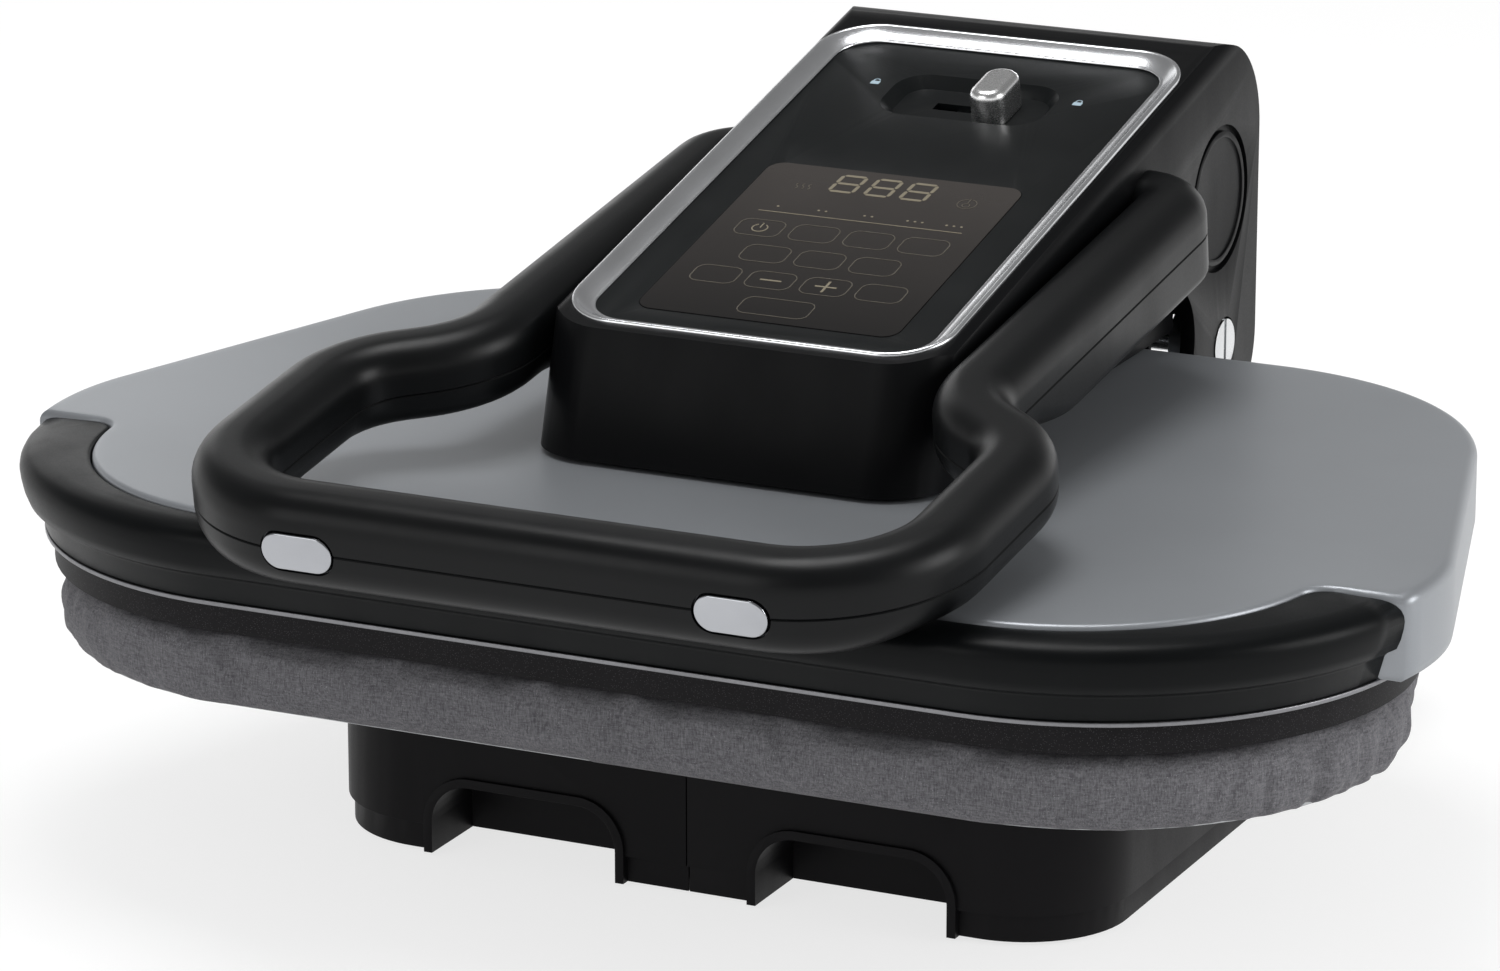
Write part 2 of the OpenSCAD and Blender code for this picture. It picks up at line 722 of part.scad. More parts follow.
module bezel() {
    rise = 1.4;
    color("#cfd2d5") on_panel() difference() {
        plate_between(seat_w, rise) rounded(block(bezel_hw, 0, bezel_l), even(28));
        plate_between(seat_w - 1, rise + 1) rounded(block(bezel_hw - 10, 10, bezel_l - 10), even(18));
        hull() {
            plate_between(seat_w + 0.8, seat_w + 0.9)
                rounded(block(bezel_hw - 10, 10, bezel_l - 10), even(18), $fn = 48);
            plate_between(rise + 0.3, rise + 0.4)
                rounded(block(bezel_hw - 2, 2, bezel_l - 2), even(26), $fn = 48);
        }
    }
}

module panel() {
    color("#14181a") on_panel() difference() {
        union() {
            plate_between(seat_w - panel_t, seat_w) rounded(block(panel_hw, 6, bezel_l - 6), even(22));
            plate_between(tub_under, seat_w - 1) rounded(block(dish_hw + 4, dish_u0 - 4, dish_u1 + 4), even(18));
            for (p = post_spots)
                translate([p[0], p[1], board_w]) cylinder(r = 4, h = seat_w - board_w - 1);
        }
        plate_between(seat_w - glass_t, 5)
            rounded(block(glass_hw + slip, glass_u0 - slip, glass_u1 + slip), even(8));
        hull() {
            plate_between(dish_floor, dish_floor + 0.1)
                rounded(block(dish_hw - 5, dish_u0 + 5, dish_u1 - 5), even(10), $fn = 48);
            plate_between(seat_w + 0.1, seat_w + 0.2)
                rounded(block(dish_hw, dish_u0, dish_u1), even(15), $fn = 48);
        }
        plate_between(tub_under - 1, dish_floor + 1)
            translate([-(lock_travel + stem_x) / 2 - slip, slot_u - stem_u / 2 - slip])
                square([lock_travel + stem_x + 2 * slip, stem_u + 2 * slip]);
    }
}

module display_glass() {
    color("#2c2926") on_panel() plate_between(seat_w - glass_t, seat_w + 0.2)
        rounded(block(glass_hw, glass_u0, glass_u1), even(7.7));
}

module circuit_board() {
    sheet_t = 1.6;
    sheet_hw = 68;
    sheet_u0 = glass_u0 + 8;
    sheet_u1 = glass_u1 + 32;
    cap_h = 6.4;
    relay = [20, 12, 6];
    color("#2d5a3c") on_panel() {
        plate_between(board_w - sheet_t, board_w) rounded(block(sheet_hw, sheet_u0, sheet_u1), even(3));
        plate_between(board_w - sheet_t - cap_h, board_w - sheet_t)
            translate([-sheet_hw * 3 / 8, (sheet_u0 + sheet_u1 - 40) / 2]) square([sheet_hw * 3 / 4, 40]);
        translate([18 - sheet_hw, sheet_u0 + 28, board_w]) cube(relay);
    }
}

module water_tank() {
    tank_hw = head_hw - 25;
    tank_h = 30;
    tank_y0 = head_y + 45;
    tank_y1 = column_y - 111;
    color("#c8d4da") place() translate([0, 0, head_z + 4])
        linear_extrude(tank_h) rounded(block(tank_hw, tank_y0, tank_y1), even(12));
}

module steam_pump() {
    pump_r = 18;
    pump_y = column_y - 50;
    color("#e2dfd6") place() {
        translate([-40, pump_y, head_z + 4 + pump_r]) rotate([0, 90, 0]) cylinder(r = pump_r, h = 60);
        translate([-44, pump_y - pump_r, head_z + 4]) cube([70, 2 * pump_r, 8]);
        translate([20, pump_y, head_z + 4 + pump_r]) rotate([0, 90, 0]) cylinder(r = 6, h = 22);
    }
}

// Lock knob and its slide, drawn in the locked place at the right

module lock_knob() {
    color("#d0d3d6") on_panel() translate([lock_rest, slot_u, 0]) {
        translate([0, 0, dish_floor + slip])
            soft_slab(block(knob_x / 2, -knob_u / 2, knob_u / 2), even(knob_x / 2 - 0.5), knob_h, 4);
        plate_between(tub_under - slip, dish_floor + 1) square([stem_x, stem_u], center = true);
    }
}

module lock_slide() {
    color("#6a6c70") on_panel() translate([lock_rest, slot_u, 0])
        plate_between(tub_under - slip - 3, tub_under - slip) square([42, 18], center = true);
}

// Handle

// Half of the handle's section above its parting line, drawn in by a wall
module grip_view(h, t) {
    a = grip_w / 2 - t;
    c = grip_r - t;
    translate([c - a, 0]) square([2 * (a - c), h - t]);
    translate([-a, 0]) square([2 * a, h - grip_r]);
    intersection() {
        for (x = [c - a, a - c]) translate([x, h - grip_r]) circle(c);
        translate([-a, 0]) square([2 * a, h]);
    }
}

// Upper or lower half of the section, hollow by a wall
module grip_half(up, t) {
    h = up ? grip_up : grip_low;
    mirror([0, up ? 0 : 1]) difference() {
        grip_view(h, 0);
        if (t > 0) grip_view(h, t);
    }
}

module grip_bend(x, v, from, sweep, r, up) {
    translate([x, v, 0]) rotate(from) rotate_extrude(angle = sweep) translate([r, 0]) grip_half(up, grip_t);
}

module grip_run(x, v0, v1, up) {
    translate([x, v1, 0]) rotate([90, 0, 0]) linear_extrude(v1 - v0) grip_half(up, grip_t);
}

// Frame on the slanting middle of the S-bend, a distance along it
module on_slant(d) {
    translate([side_x - s_r * (1 - s_side) - d * s_rise, corner_r + side_run + s_r * s_rise + d * s_side, 0])
        rotate(s_angle) children();
}

module slant_cut(v0) {
    translate([-2 * grip_w, v0, -2 * grip_low]) cube([4 * grip_w, 4 * grip_w, 2 * (grip_up + grip_low)]);
}

module arm_keel() {
    intersection() {
        translate([head_hw, 0, -keel_low]) linear_extrude(keel_low - 1) {
            translate([keel_in, arm_start]) square([grip_w - 2 * keel_in, arm_end - arm_start]);
            translate([0, arm_end]) intersection() {
                circle(grip_w - keel_in);
                translate([keel_in, -1]) square(grip_w + 1);
            }
        }
        across(head_hw - 1, head_hw + grip_w + 1)
            polygon([[arm_start + 1, 0], [arm_start + 1, 4 - grip_low], [arm_start + keel_run, -keel_low],
                [arm_end + grip_w / 4, -keel_low], [arm_end + grip_w / 2, 0]]);
    }
}

module loop_arm(up) {
    grip_bend(side_x - corner_r, corner_r, -90, 90, corner_r, up);
    grip_run(side_x, corner_r, corner_r + side_run, up);
    intersection() {
        grip_bend(side_x - s_r, corner_r + side_run, 0, s_angle + 6, s_r, up);
        on_slant(0) slant_cut(-4 * grip_w);
    }
    on_slant(0) grip_run(0, 0, s_mid, up);
    intersection() {
        grip_bend(arm_x + s_r, arm_start, 180, s_angle + 6, s_r, up);
        on_slant(s_mid) slant_cut(0);
    }
    grip_run(arm_x, arm_start, arm_end, up);
    translate([head_hw, arm_end, 0]) rotate_extrude(angle = 90) translate([grip_w / 2, 0]) grip_half(up, 0);
    if (!up) arm_keel();
}

module button_view(grow) {
    c = button_h / 2 + grow;
    square([button_l - button_h, 2 * c], center = true);
    for (x = [-1, 1]) translate([x * (button_l - button_h) / 2, 0]) circle(c);
}

module button_prism(grow, v0, v1) {
    translate([0, v1, 0]) rotate([90, 0, 0]) linear_extrude(v1 - v0) button_view(grow);
}

module loop_post(up) {
    translate([0, 0, up ? 0 : 2 - grip_low]) cylinder(r = 5, h = (up ? grip_up : grip_low) - 2);
}

module loop_shell(up) {
    difference() {
        union() {
            translate([corner_r - side_x, 0, 0]) rotate([90, 0, 90])
                linear_extrude(2 * (side_x - corner_r)) grip_half(up, grip_t);
            for (s = [0, 1]) mirror([s, 0, 0]) loop_arm(up);
            for (p = loop_posts) translate(p) loop_post(up);
        }
        for (s = [-1, 1]) translate([s * button_x, 0, 0]) {
            button_prism(slip, -grip_w / 2 - 5, -grip_w / 2 + grip_t + 2);
            button_prism(1.6, -grip_w / 2 - 5, -grip_w / 2 + 0.7);
            button_prism(1.8 + slip, flange_y - slip, flange_y + 2 + button_travel + slip);
        }
        for (p = loop_posts) translate([p[0], p[1], -keel_low - 1]) {
            cylinder(r = 3.5, h = keel_low - grip_low + 4);
            cylinder(r = 1.5 + run_gap, h = keel_low + 11);
        }
    }
}

module handle_upper() {
    color("#2a2c2e") on_loop() loop_shell(true);
}

module handle_lower() {
    color("#26282a") on_loop() loop_shell(false);
}

module handle_screw() {
    translate([0, 0, -grip_low]) difference() {
        union() {
            translate([0, 0, 0.4]) cylinder(r = 3, h = 2.6);
            translate([0, 0, 1]) cylinder(r = 1.5, h = grip_low + 6);
        }
        for (a = [0, 90]) rotate(a) translate([-2, -0.35, 0]) cube([4, 0.7, 1.6]);
    }
}

module handle_screws() {
    color("#8d8f92") on_loop() for (p = loop_posts) translate(p) handle_screw();
}

button_back = -grip_w / 2 + 8;
flange_y = -grip_w / 2 + grip_t + slip;

module button_piece() {
    button_prism(0, -grip_w / 2 - 0.3, button_back);
    button_prism(1.8, flange_y, flange_y + 2);
}

module button_left() {
    color("#d0d3d6") on_loop() translate([-button_x, 0, 0]) button_piece();
}

module button_right() {
    color("#d0d3d6") on_loop() translate([button_x, 0, 0]) button_piece();
}

module button_switches() {
    gap = button_back + button_travel + slip;
    color("#3b3b3d") on_loop() for (s = [-1, 1])
        translate([s * button_x - 7, gap, -4]) cube([14, grip_w / 2 - grip_t - gap, 8]);
}

base_left();
base_right();
base_floor();
base_feet();
base_screws();
board_tray();
board_foam();
board_cover();
hinge_bracket();
bracket_bolts();
hinge_axle();
pivot_screws();
lift_spring();
plate_cover();
plate_rim();
heat_shield();
sole_plate();
steam_chamber();
heater_tube();
head_shell();
head_floor();
hinge_bushes();
side_discs();
bezel();
panel();
display_glass();
circuit_board();
water_tank();
steam_pump();
handle_upper();
handle_lower();
handle_screws();
button_switches();
lock_knob();
lock_slide();
button_left();
button_right();
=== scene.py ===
import math
import bmesh
import bpy
import numpy as np
from mathutils import Matrix, Vector


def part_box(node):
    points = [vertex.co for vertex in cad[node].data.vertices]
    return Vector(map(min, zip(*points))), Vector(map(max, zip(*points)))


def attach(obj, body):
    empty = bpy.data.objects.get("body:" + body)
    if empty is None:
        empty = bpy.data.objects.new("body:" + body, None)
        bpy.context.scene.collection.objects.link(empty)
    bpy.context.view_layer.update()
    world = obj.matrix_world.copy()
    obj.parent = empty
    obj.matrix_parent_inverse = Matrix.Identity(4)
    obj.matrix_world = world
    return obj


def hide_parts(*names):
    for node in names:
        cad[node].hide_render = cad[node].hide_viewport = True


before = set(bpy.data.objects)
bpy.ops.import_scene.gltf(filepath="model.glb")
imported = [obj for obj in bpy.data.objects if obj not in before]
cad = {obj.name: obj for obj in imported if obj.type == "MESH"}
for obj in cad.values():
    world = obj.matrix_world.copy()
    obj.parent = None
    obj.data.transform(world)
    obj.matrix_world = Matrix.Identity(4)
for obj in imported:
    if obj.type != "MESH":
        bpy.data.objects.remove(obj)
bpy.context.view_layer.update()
scene = bpy.context.scene
mm = 0.001
print("frame loaded with", len(cad), "nodes")


# finish helpers, all on object coordinates in metres

def makeFinish(name):
    finish = bpy.data.materials.new(name)
    finish.use_nodes = True
    tree = finish.node_tree
    shader = tree.nodes["Principled BSDF"]
    place = tree.nodes.new("ShaderNodeTexCoord").outputs["Object"]
    return finish, tree, shader, place


def stretched(tree, place, stretch, turn=(0, 0, 0)):
    mapping = tree.nodes.new("ShaderNodeMapping")
    mapping.inputs["Scale"].default_value = stretch
    mapping.inputs["Rotation"].default_value = turn
    tree.links.new(place, mapping.inputs["Vector"])
    return mapping.outputs["Vector"]


def noiseOf(tree, place, scale, detail=3.0, rough=0.55):
    node = tree.nodes.new("ShaderNodeTexNoise")
    node.inputs["Scale"].default_value = scale
    node.inputs["Detail"].default_value = detail
    node.inputs["Roughness"].default_value = rough
    tree.links.new(place, node.inputs["Vector"])
    return node.outputs["Fac"]


def spread(tree, value, low, high, start=0.3, end=0.7):
    node = tree.nodes.new("ShaderNodeMapRange")
    for key, number in (("From Min", start), ("From Max", end), ("To Min", low), ("To Max", high)):
        node.inputs[key].default_value = number
    tree.links.new(value, node.inputs["Value"])
    return node.outputs["Result"]


def mixTint(tree, value, dark, light):
    node = tree.nodes.new("ShaderNodeMix")
    node.data_type = "RGBA"
    for socket, tint in ((6, dark), (7, light)):
        if hasattr(tint, "links"):
            tree.links.new(tint, node.inputs[socket])
        else:
            node.inputs[socket].default_value = (*tint, 1)
    tree.links.new(value, node.inputs[0])
    return node.outputs[2]


def reckon(tree, kind, first, second):
    node = tree.nodes.new("ShaderNodeMath")
    node.operation = kind
    for socket, value in ((0, first), (1, second)):
        if hasattr(value, "links"):
            tree.links.new(value, node.inputs[socket])
        else:
            node.inputs[socket].default_value = value
    return node.outputs[0]


def bumpFrom(tree, shader, height, strength, depth):
    node = tree.nodes.new("ShaderNodeBump")
    node.inputs["Strength"].default_value = strength
    node.inputs["Distance"].default_value = depth
    tree.links.new(height, node.inputs["Height"])
    tree.links.new(node.outputs["Normal"], shader.inputs["Normal"])


def shade(tint, amount):
    return tuple(c * amount for c in tint)


# moulded plastic: soft cloudy tone, fine spark-eroded grain
def mouldedPlastic(name, tint, rough, level=0.3, grain=1500, depth=0.00004):
    finish, tree, shader, place = makeFinish(name)
    cloud = noiseOf(tree, place, scale=9, detail=4)
    fine = noiseOf(tree, place, grain, detail=2)
    smear = noiseOf(tree, stretched(tree, place, (1, 1, 0.3)), scale=38, detail=5)
    tree.links.new(mixTint(tree, spread(tree, cloud, 0, 1), shade(tint, 0.84), shade(tint, 1.16)),
                   shader.inputs["Base Color"])
    gloss = reckon(tree, "ADD", spread(tree, fine, -0.03, 0.03),
                   spread(tree, smear, rough - 0.04, rough + 0.04))
    tree.links.new(gloss, shader.inputs["Roughness"])
    shader.inputs["Specular IOR Level"].default_value = level
    bumpFrom(tree, shader, fine, strength=0.25, depth=depth)
    return finish


# satin or bright metal with fine drawn lines
def drawnMetal(name, tint, rough, lines=(1, 1, 1), grain=900, vary=0.3, groove=0.12):
    finish, tree, shader, place = makeFinish(name)
    streak = noiseOf(tree, stretched(tree, place, lines), grain, detail=3)
    cloud = noiseOf(tree, place, scale=24, detail=3)
    tree.links.new(mixTint(tree, spread(tree, cloud, 0, 1), shade(tint, 0.92), shade(tint, 1.06)),
                   shader.inputs["Base Color"])
    tree.links.new(spread(tree, streak, rough * (1 - vary), rough * (1 + vary)),
                   shader.inputs["Roughness"])
    shader.inputs["Metallic"].default_value = 1.0
    bumpFrom(tree, shader, streak, strength=groove, depth=0.00003)
    return finish


# satin metallic paint of the plate cover
def satinPaint(name, tint, rough):
    finish, tree, shader, place = makeFinish(name)
    flake = noiseOf(tree, place, scale=5200, detail=1)
    cloud = noiseOf(tree, place, scale=6, detail=3)
    peel = noiseOf(tree, place, scale=420, detail=2)
    tone = mixTint(tree, spread(tree, cloud, 0, 1), shade(tint, 0.95), shade(tint, 1.05))
    tree.links.new(mixTint(tree, spread(tree, flake, 0, 0.35, 0.62, 0.75), tone, shade(tint, 1.7)),
                   shader.inputs["Base Color"])
    tree.links.new(spread(tree, flake, rough - 0.04, rough + 0.04), shader.inputs["Roughness"])
    shader.inputs["Metallic"].default_value = 0.55
    shader.inputs["Specular IOR Level"].default_value = 0.4
    bumpFrom(tree, shader, peel, strength=0.06, depth=0.00005)
    return finish


# non-stick sole with fine sparkle
def sparkleCoat(name, tint, spark):
    finish, tree, shader, place = makeFinish(name)
    dots = tree.nodes.new("ShaderNodeTexVoronoi")
    dots.inputs["Scale"].default_value = 1300
    tree.links.new(place, dots.inputs["Vector"])
    cloud = noiseOf(tree, place, scale=60, detail=3)
    tone = mixTint(tree, spread(tree, cloud, 0, 1), shade(tint, 0.85), shade(tint, 1.15))
    shine = spread(tree, dots.outputs["Distance"], 1, 0, start=0.1, end=0.24)
    tree.links.new(mixTint(tree, shine, tone, spark), shader.inputs["Base Color"])
    shader.inputs["Roughness"].default_value = 0.5
    shader.inputs["Specular IOR Level"].default_value = 0.12
    bumpFrom(tree, shader, noiseOf(tree, place, scale=1500, detail=2), strength=0.3, depth=0.00008)
    return finish


# heather cloth: crossing threads with light and dark yarns
def heatherCloth(name, dark, light, speck, yarnScale=1600, fleckScale=2300):
    finish, tree, shader, place = makeFinish(name)
    yarn = None
    for stretch, share in (((1, 1, 0.16), 0.4), ((0.16, 0.16, 1), 0.35), ((1, 0.16, 0.5), 0.25)):
        thread = noiseOf(tree, stretched(tree, place, stretch), yarnScale, detail=2)
        thread = reckon(tree, "MULTIPLY", thread, share)
        yarn = thread if yarn is None else reckon(tree, "ADD", yarn, thread)
    fleck = noiseOf(tree, place, fleckScale, detail=1)
    cloud = noiseOf(tree, place, scale=22, detail=4)
    tone = mixTint(tree, spread(tree, yarn, 0, 1, start=0.38, end=0.62), dark, light)
    tone = mixTint(tree, spread(tree, cloud, 0, 0.16), tone, shade(dark, 0.9))
    dotted = spread(tree, fleck, 0, 0.75, start=0.66, end=0.78)
    tree.links.new(mixTint(tree, dotted, tone, speck), shader.inputs["Base Color"])
    shader.inputs["Roughness"].default_value = 0.9
    shader.inputs["Specular IOR Level"].default_value = 0.15
    shader.inputs["Sheen Weight"].default_value = 0.12
    shader.inputs["Sheen Roughness"].default_value = 0.5
    bumpFrom(tree, shader, yarn, strength=0.55, depth=0.00035)
    return finish


# smoked display glass with painted reflection: a little browner and lighter towards the back
def smokedGlassPaintedReflection(name, near, far, yNear, yFar):
    finish, tree, shader, place = makeFinish(name)
    split = tree.nodes.new("ShaderNodeSeparateXYZ")
    tree.links.new(place, split.inputs[0])
    # painted reflection: the tint lightens from the front of the glass to the back
    fade = spread(tree, split.outputs["Y"], 0, 1, yNear, yFar)
    haze = noiseOf(tree, place, scale=16, detail=3)
    fade = reckon(tree, "MULTIPLY", fade, spread(tree, haze, 0.85, 1.1))
    tree.links.new(mixTint(tree, fade, near, far), shader.inputs["Base Color"])
    fine = noiseOf(tree, place, scale=700, detail=2)
    tree.links.new(spread(tree, fine, 0.1, 0.16), shader.inputs["Roughness"])
    shader.inputs["Specular IOR Level"].default_value = 0.35
    return finish


finishes = {
    "baseBlack": mouldedPlastic("baseBlack", (0.0062, 0.0058, 0.0066), 0.46, 0.1),
    "floorBlack": mouldedPlastic("floorBlack", (0.010, 0.010, 0.011), 0.6, 0.15),
    "footRubber": mouldedPlastic("footRubber", (0.008, 0.008, 0.008), 0.8, 0.15, 700, 0.00012),
    "headBlack": mouldedPlastic("headBlack", (0.0034, 0.0036, 0.0041), 0.4, 0.09),
    "rimBlack": mouldedPlastic("rimBlack", (0.0036, 0.0042, 0.0046), 0.36, 0.1),
    "handleBlack": mouldedPlastic("handleBlack", (0.0036, 0.0040, 0.0044), 0.36, 0.19),
    "panelBlack": mouldedPlastic("panelBlack", (0.0042, 0.0052, 0.0056), 0.34, 0.16, 2200, 0.00002),
    "switchBlack": mouldedPlastic("switchBlack", (0.02, 0.02, 0.021), 0.55, 0.3),
    "pumpWhite": mouldedPlastic("pumpWhite", (0.62, 0.6, 0.55), 0.5, 0.4),
    "tankPlastic": mouldedPlastic("tankPlastic", (0.5, 0.58, 0.62), 0.3, 0.5),
    "boardGreen": mouldedPlastic("boardGreen", (0.03, 0.13, 0.055), 0.35, 0.5, 300, 0.0001),
    "coverGrey": satinPaint("coverGrey", (0.3, 0.315, 0.335), 0.4),
    "shieldGrey": drawnMetal("shieldGrey", (0.24, 0.24, 0.252), 0.42),
    "soleDark": sparkleCoat("soleDark", (0.008, 0.0075, 0.0085), (0.075, 0.07, 0.075)),
    "bezelChrome": drawnMetal("bezelChrome", (0.8, 0.81, 0.83), 0.25, (1, 0.15, 0.15), 1400, 0.06, 0.015),
    "knobChrome": drawnMetal("knobChrome", (0.88, 0.88, 0.88), 0.27, (0.2, 1, 1), 1400, 0.06, 0.015),
    "buttonChrome": drawnMetal("buttonChrome", (0.44, 0.45, 0.475), 0.2, (0.15, 1, 1), 1400),
    "pivotChrome": drawnMetal("pivotChrome", (0.7, 0.71, 0.72), 0.22),
    "screwSteel": drawnMetal("screwSteel", (0.5, 0.5, 0.51), 0.32),
    "trayMetal": drawnMetal("trayMetal", (0.42, 0.43, 0.44), 0.45, (1, 0.2, 1), 500),
    "bracketSteel": drawnMetal("bracketSteel", (0.3, 0.31, 0.32), 0.42, (0.2, 1, 1), 700),
    "axleSteel": drawnMetal("axleSteel", (0.55, 0.56, 0.57), 0.28, (0.1, 1, 1)),
    "springSteel": drawnMetal("springSteel", (0.28, 0.28, 0.29), 0.35),
    "chamberCast": drawnMetal("chamberCast", (0.48, 0.48, 0.49), 0.6, (1, 1, 1), 260),
    "heaterSteel": drawnMetal("heaterSteel", (0.2, 0.17, 0.15), 0.45),
    "bushBrass": drawnMetal("bushBrass", (0.58, 0.42, 0.2), 0.38),
    "boardCloth": heatherCloth("boardCloth", (0.082, 0.08, 0.088), (0.2, 0.197, 0.21),
                               (0.42, 0.42, 0.43)),
}
glassLow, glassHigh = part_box("display_glass")
# display glass whose tint carries painted reflection, lighter towards the back
finishes["displayGlassPaintedReflection"] = smokedGlassPaintedReflection("displayGlassPaintedReflection", (0.0085, 0.0075, 0.0072),
                                       (0.042, 0.037, 0.034), glassLow.y, glassHigh.y)
finishes["displayPrint"] = mouldedPlastic("displayPrint", (0.2, 0.175, 0.125), 0.5, 0.3)
finishes["keyPrint"] = mouldedPlastic("keyPrint", (0.085, 0.075, 0.058), 0.5, 0.3)
finishes["lockPrint"] = mouldedPlastic("lockPrint", (0.36, 0.47, 0.54), 0.45, 0.3)
print("finishes made:", len(finishes))


# cad nodes that show as they are: finish, and a soft edge where one is given in millimetres
nodeFinish = {
    "base_left": ("baseBlack", 1.2), "base_right": ("baseBlack", 1.2), "base_floor": ("floorBlack", 0),
    "base_feet": ("footRubber", 0), "base_screws": ("screwSteel", 0), "board_tray": ("trayMetal", 0),
    "hinge_bracket": ("bracketSteel", 0.5), "bracket_bolts": ("screwSteel", 0), "hinge_axle": ("axleSteel", 0),
    "pivot_screws": ("pivotChrome", 0.4), "lift_spring": ("springSteel", 0), "heat_shield": ("shieldGrey", 0.5),
    "sole_plate": ("soleDark", 0), "steam_chamber": ("chamberCast", 0), "heater_tube": ("heaterSteel", 0),
    "head_shell": ("headBlack", 1.0), "head_floor": ("floorBlack", 0), "hinge_bushes": ("bushBrass", 0),
    "side_discs": ("headBlack", 0.4), "panel": ("panelBlack", 0.4), "display_glass": ("displayGlassPaintedReflection", 0),
    "circuit_board": ("boardGreen", 0), "water_tank": ("tankPlastic", 0), "steam_pump": ("pumpWhite", 0),
    "handle_upper": ("handleBlack", 0), "handle_lower": ("handleBlack", 0), "handle_screws": ("screwSteel", 0),
    "button_switches": ("switchBlack", 0), "lock_knob": ("knobChrome", 0), "lock_slide": ("bracketSteel", 0),
    "button_left": ("buttonChrome", 1.4), "button_right": ("buttonChrome", 1.4), "bezel": ("bezelChrome", 0),
    "plate_cover": ("coverGrey", 0), "plate_rim": ("rimBlack", 0), "board_cover": ("boardCloth", 0),
    "board_foam": ("boardCloth", 0),
}


# soft edge on a cad node: its facets are welded and flattened, then bevelled
softEdge = {"weld": 0.000002, "flat": 0.4, "segments": 3, "corner": 34}


def dressNode(name, finish, edge):
    node = cad[name]
    node.data.materials.clear()
    node.data.materials.append(finishes[finish])
    if not edge:
        return
    node.data.shade_smooth()
    weld = node.modifiers.new("weld", "WELD")
    weld.merge_threshold = softEdge["weld"]
    flat = node.modifiers.new("flat", "DECIMATE")
    flat.decimate_type = "DISSOLVE"
    flat.angle_limit = math.radians(softEdge["flat"])
    soft = node.modifiers.new("edge", "BEVEL")
    soft.width = edge * mm
    soft.segments = softEdge["segments"]
    soft.limit_method = "ANGLE"
    soft.angle_limit = math.radians(softEdge["corner"])
    soft.harden_normals = True


for name, (finish, edge) in nodeFinish.items():
    dressNode(name, finish, edge)
print("cad nodes dressed:", len(nodeFinish))


# mesh helpers

def newPiece(name, verts, faces, finish, body, smooth=True):
    mesh = bpy.data.meshes.new(name)
    mesh.from_pydata([tuple(map(float, v)) for v in verts], [], [tuple(map(int, f)) for f in faces])
    mesh.materials.append(finishes[finish])
    if smooth:
        mesh.shade_smooth()
    piece = bpy.data.objects.new(name, mesh)
    scene.collection.objects.link(piece)
    if body:
        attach(piece, body)
    return piece


def tidyNormals(piece):
    bm = bmesh.new()
    bm.from_mesh(piece.data)
    bmesh.ops.recalc_face_normals(bm, faces=bm.faces)
    bm.to_mesh(piece.data)
    bm.free()


def keepSharp(piece, degrees):
    bm = bmesh.new()
    bm.from_mesh(piece.data)
    for edge in bm.edges:
        edge.smooth = len(edge.link_faces) == 2 and edge.calc_face_angle() < math.radians(degrees)
    bm.to_mesh(piece.data)
    bm.free()


# the piece as its modifiers leave it, with the modifiers gone
def asMesh(piece):
    graph = bpy.context.evaluated_depsgraph_get()
    done = bpy.data.meshes.new_from_object(piece.evaluated_get(graph))
    piece.modifiers.clear()
    piece.data = done


def prism(outline, low, high, place):
    count = len(outline)
    verts = [place @ Vector((x, y, z)) for z in (low, high) for x, y in outline]
    faces = [tuple(reversed(range(count))), tuple(range(count, 2 * count))]
    faces += [(i, (i + 1) % count, count + (i + 1) % count, count + i) for i in range(count)]
    return verts, faces


def joinParts(parts):
    verts, faces = [], []
    for points, sides in parts:
        faces += [tuple(len(verts) + i for i in side) for side in sides]
        verts += points
    return verts, faces


def arcPoints(centre, radius, start, end, count):
    turn = np.linspace(start, end, count + 1)
    return np.array(centre) + radius * np.stack([np.cos(turn), np.sin(turn)], 1)


def roundedOutline(corners, radii, inset=0.0, step=0.004):
    corners = np.array(corners, float)
    count = len(corners)
    along = np.roll(corners, -1, 0) - corners
    along /= np.linalg.norm(along, axis=1)[:, None]
    out = []
    for i in range(count):
        last, ahead = along[i - 1], along[i]
        cross = last[0] * ahead[1] - last[1] * ahead[0]
        corner = corners[i] + inset / cross * (ahead - last)
        radius = max(0.0004, radii[i] - inset)
        turn = math.acos(np.clip(last @ ahead, -1, 1))
        start = corner - last * radius * math.tan(turn / 2)
        centre = start + radius * np.array([-last[1], last[0]])
        first = math.atan2(last[1], last[0]) - math.pi / 2
        steps = max(3, round(radii[i] * turn / step))
        out.append(arcPoints(centre, radius, first, first + turn, steps))
    out = np.concatenate(out)
    return out[np.linalg.norm(out - np.roll(out, 1, 0), axis=1) > 1e-6]


# each edge of the loop moves in by its own distance
def insetLoop(loop, dist, straight=0.02):
    ahead = np.roll(loop, -1, 0) - loop
    ahead /= np.linalg.norm(ahead, axis=1)[:, None]
    inward = np.stack([-ahead[:, 1], ahead[:, 0]], 1)
    out = np.zeros_like(loop)
    for i in range(len(loop)):
        n1, n2, d1, d2 = inward[i - 1], inward[i], dist[i - 1], dist[i]
        det = n1[0] * n2[1] - n1[1] * n2[0]
        if abs(det) < straight:
            move = (n1 + n2) / np.linalg.norm(n1 + n2) * (d1 + d2) / 2
        else:
            move = np.array([d1 * n2[1] - d2 * n1[1], n1[0] * d2 - n2[0] * d1]) / det
        out[i] = loop[i] + move
    return out


def loftRings(rings, closed=False):
    count = len(rings[0])
    faces = []
    rows = len(rings)
    for r in range(rows if closed else rows - 1):
        a, b = r * count, ((r + 1) % rows) * count
        faces += [(a + i, a + (i + 1) % count, b + (i + 1) % count, b + i) for i in range(count)]
    if not closed:
        faces.append(tuple(reversed(range(count))))
        faces.append(tuple(range((rows - 1) * count, rows * count)))
    return np.concatenate(rings), faces


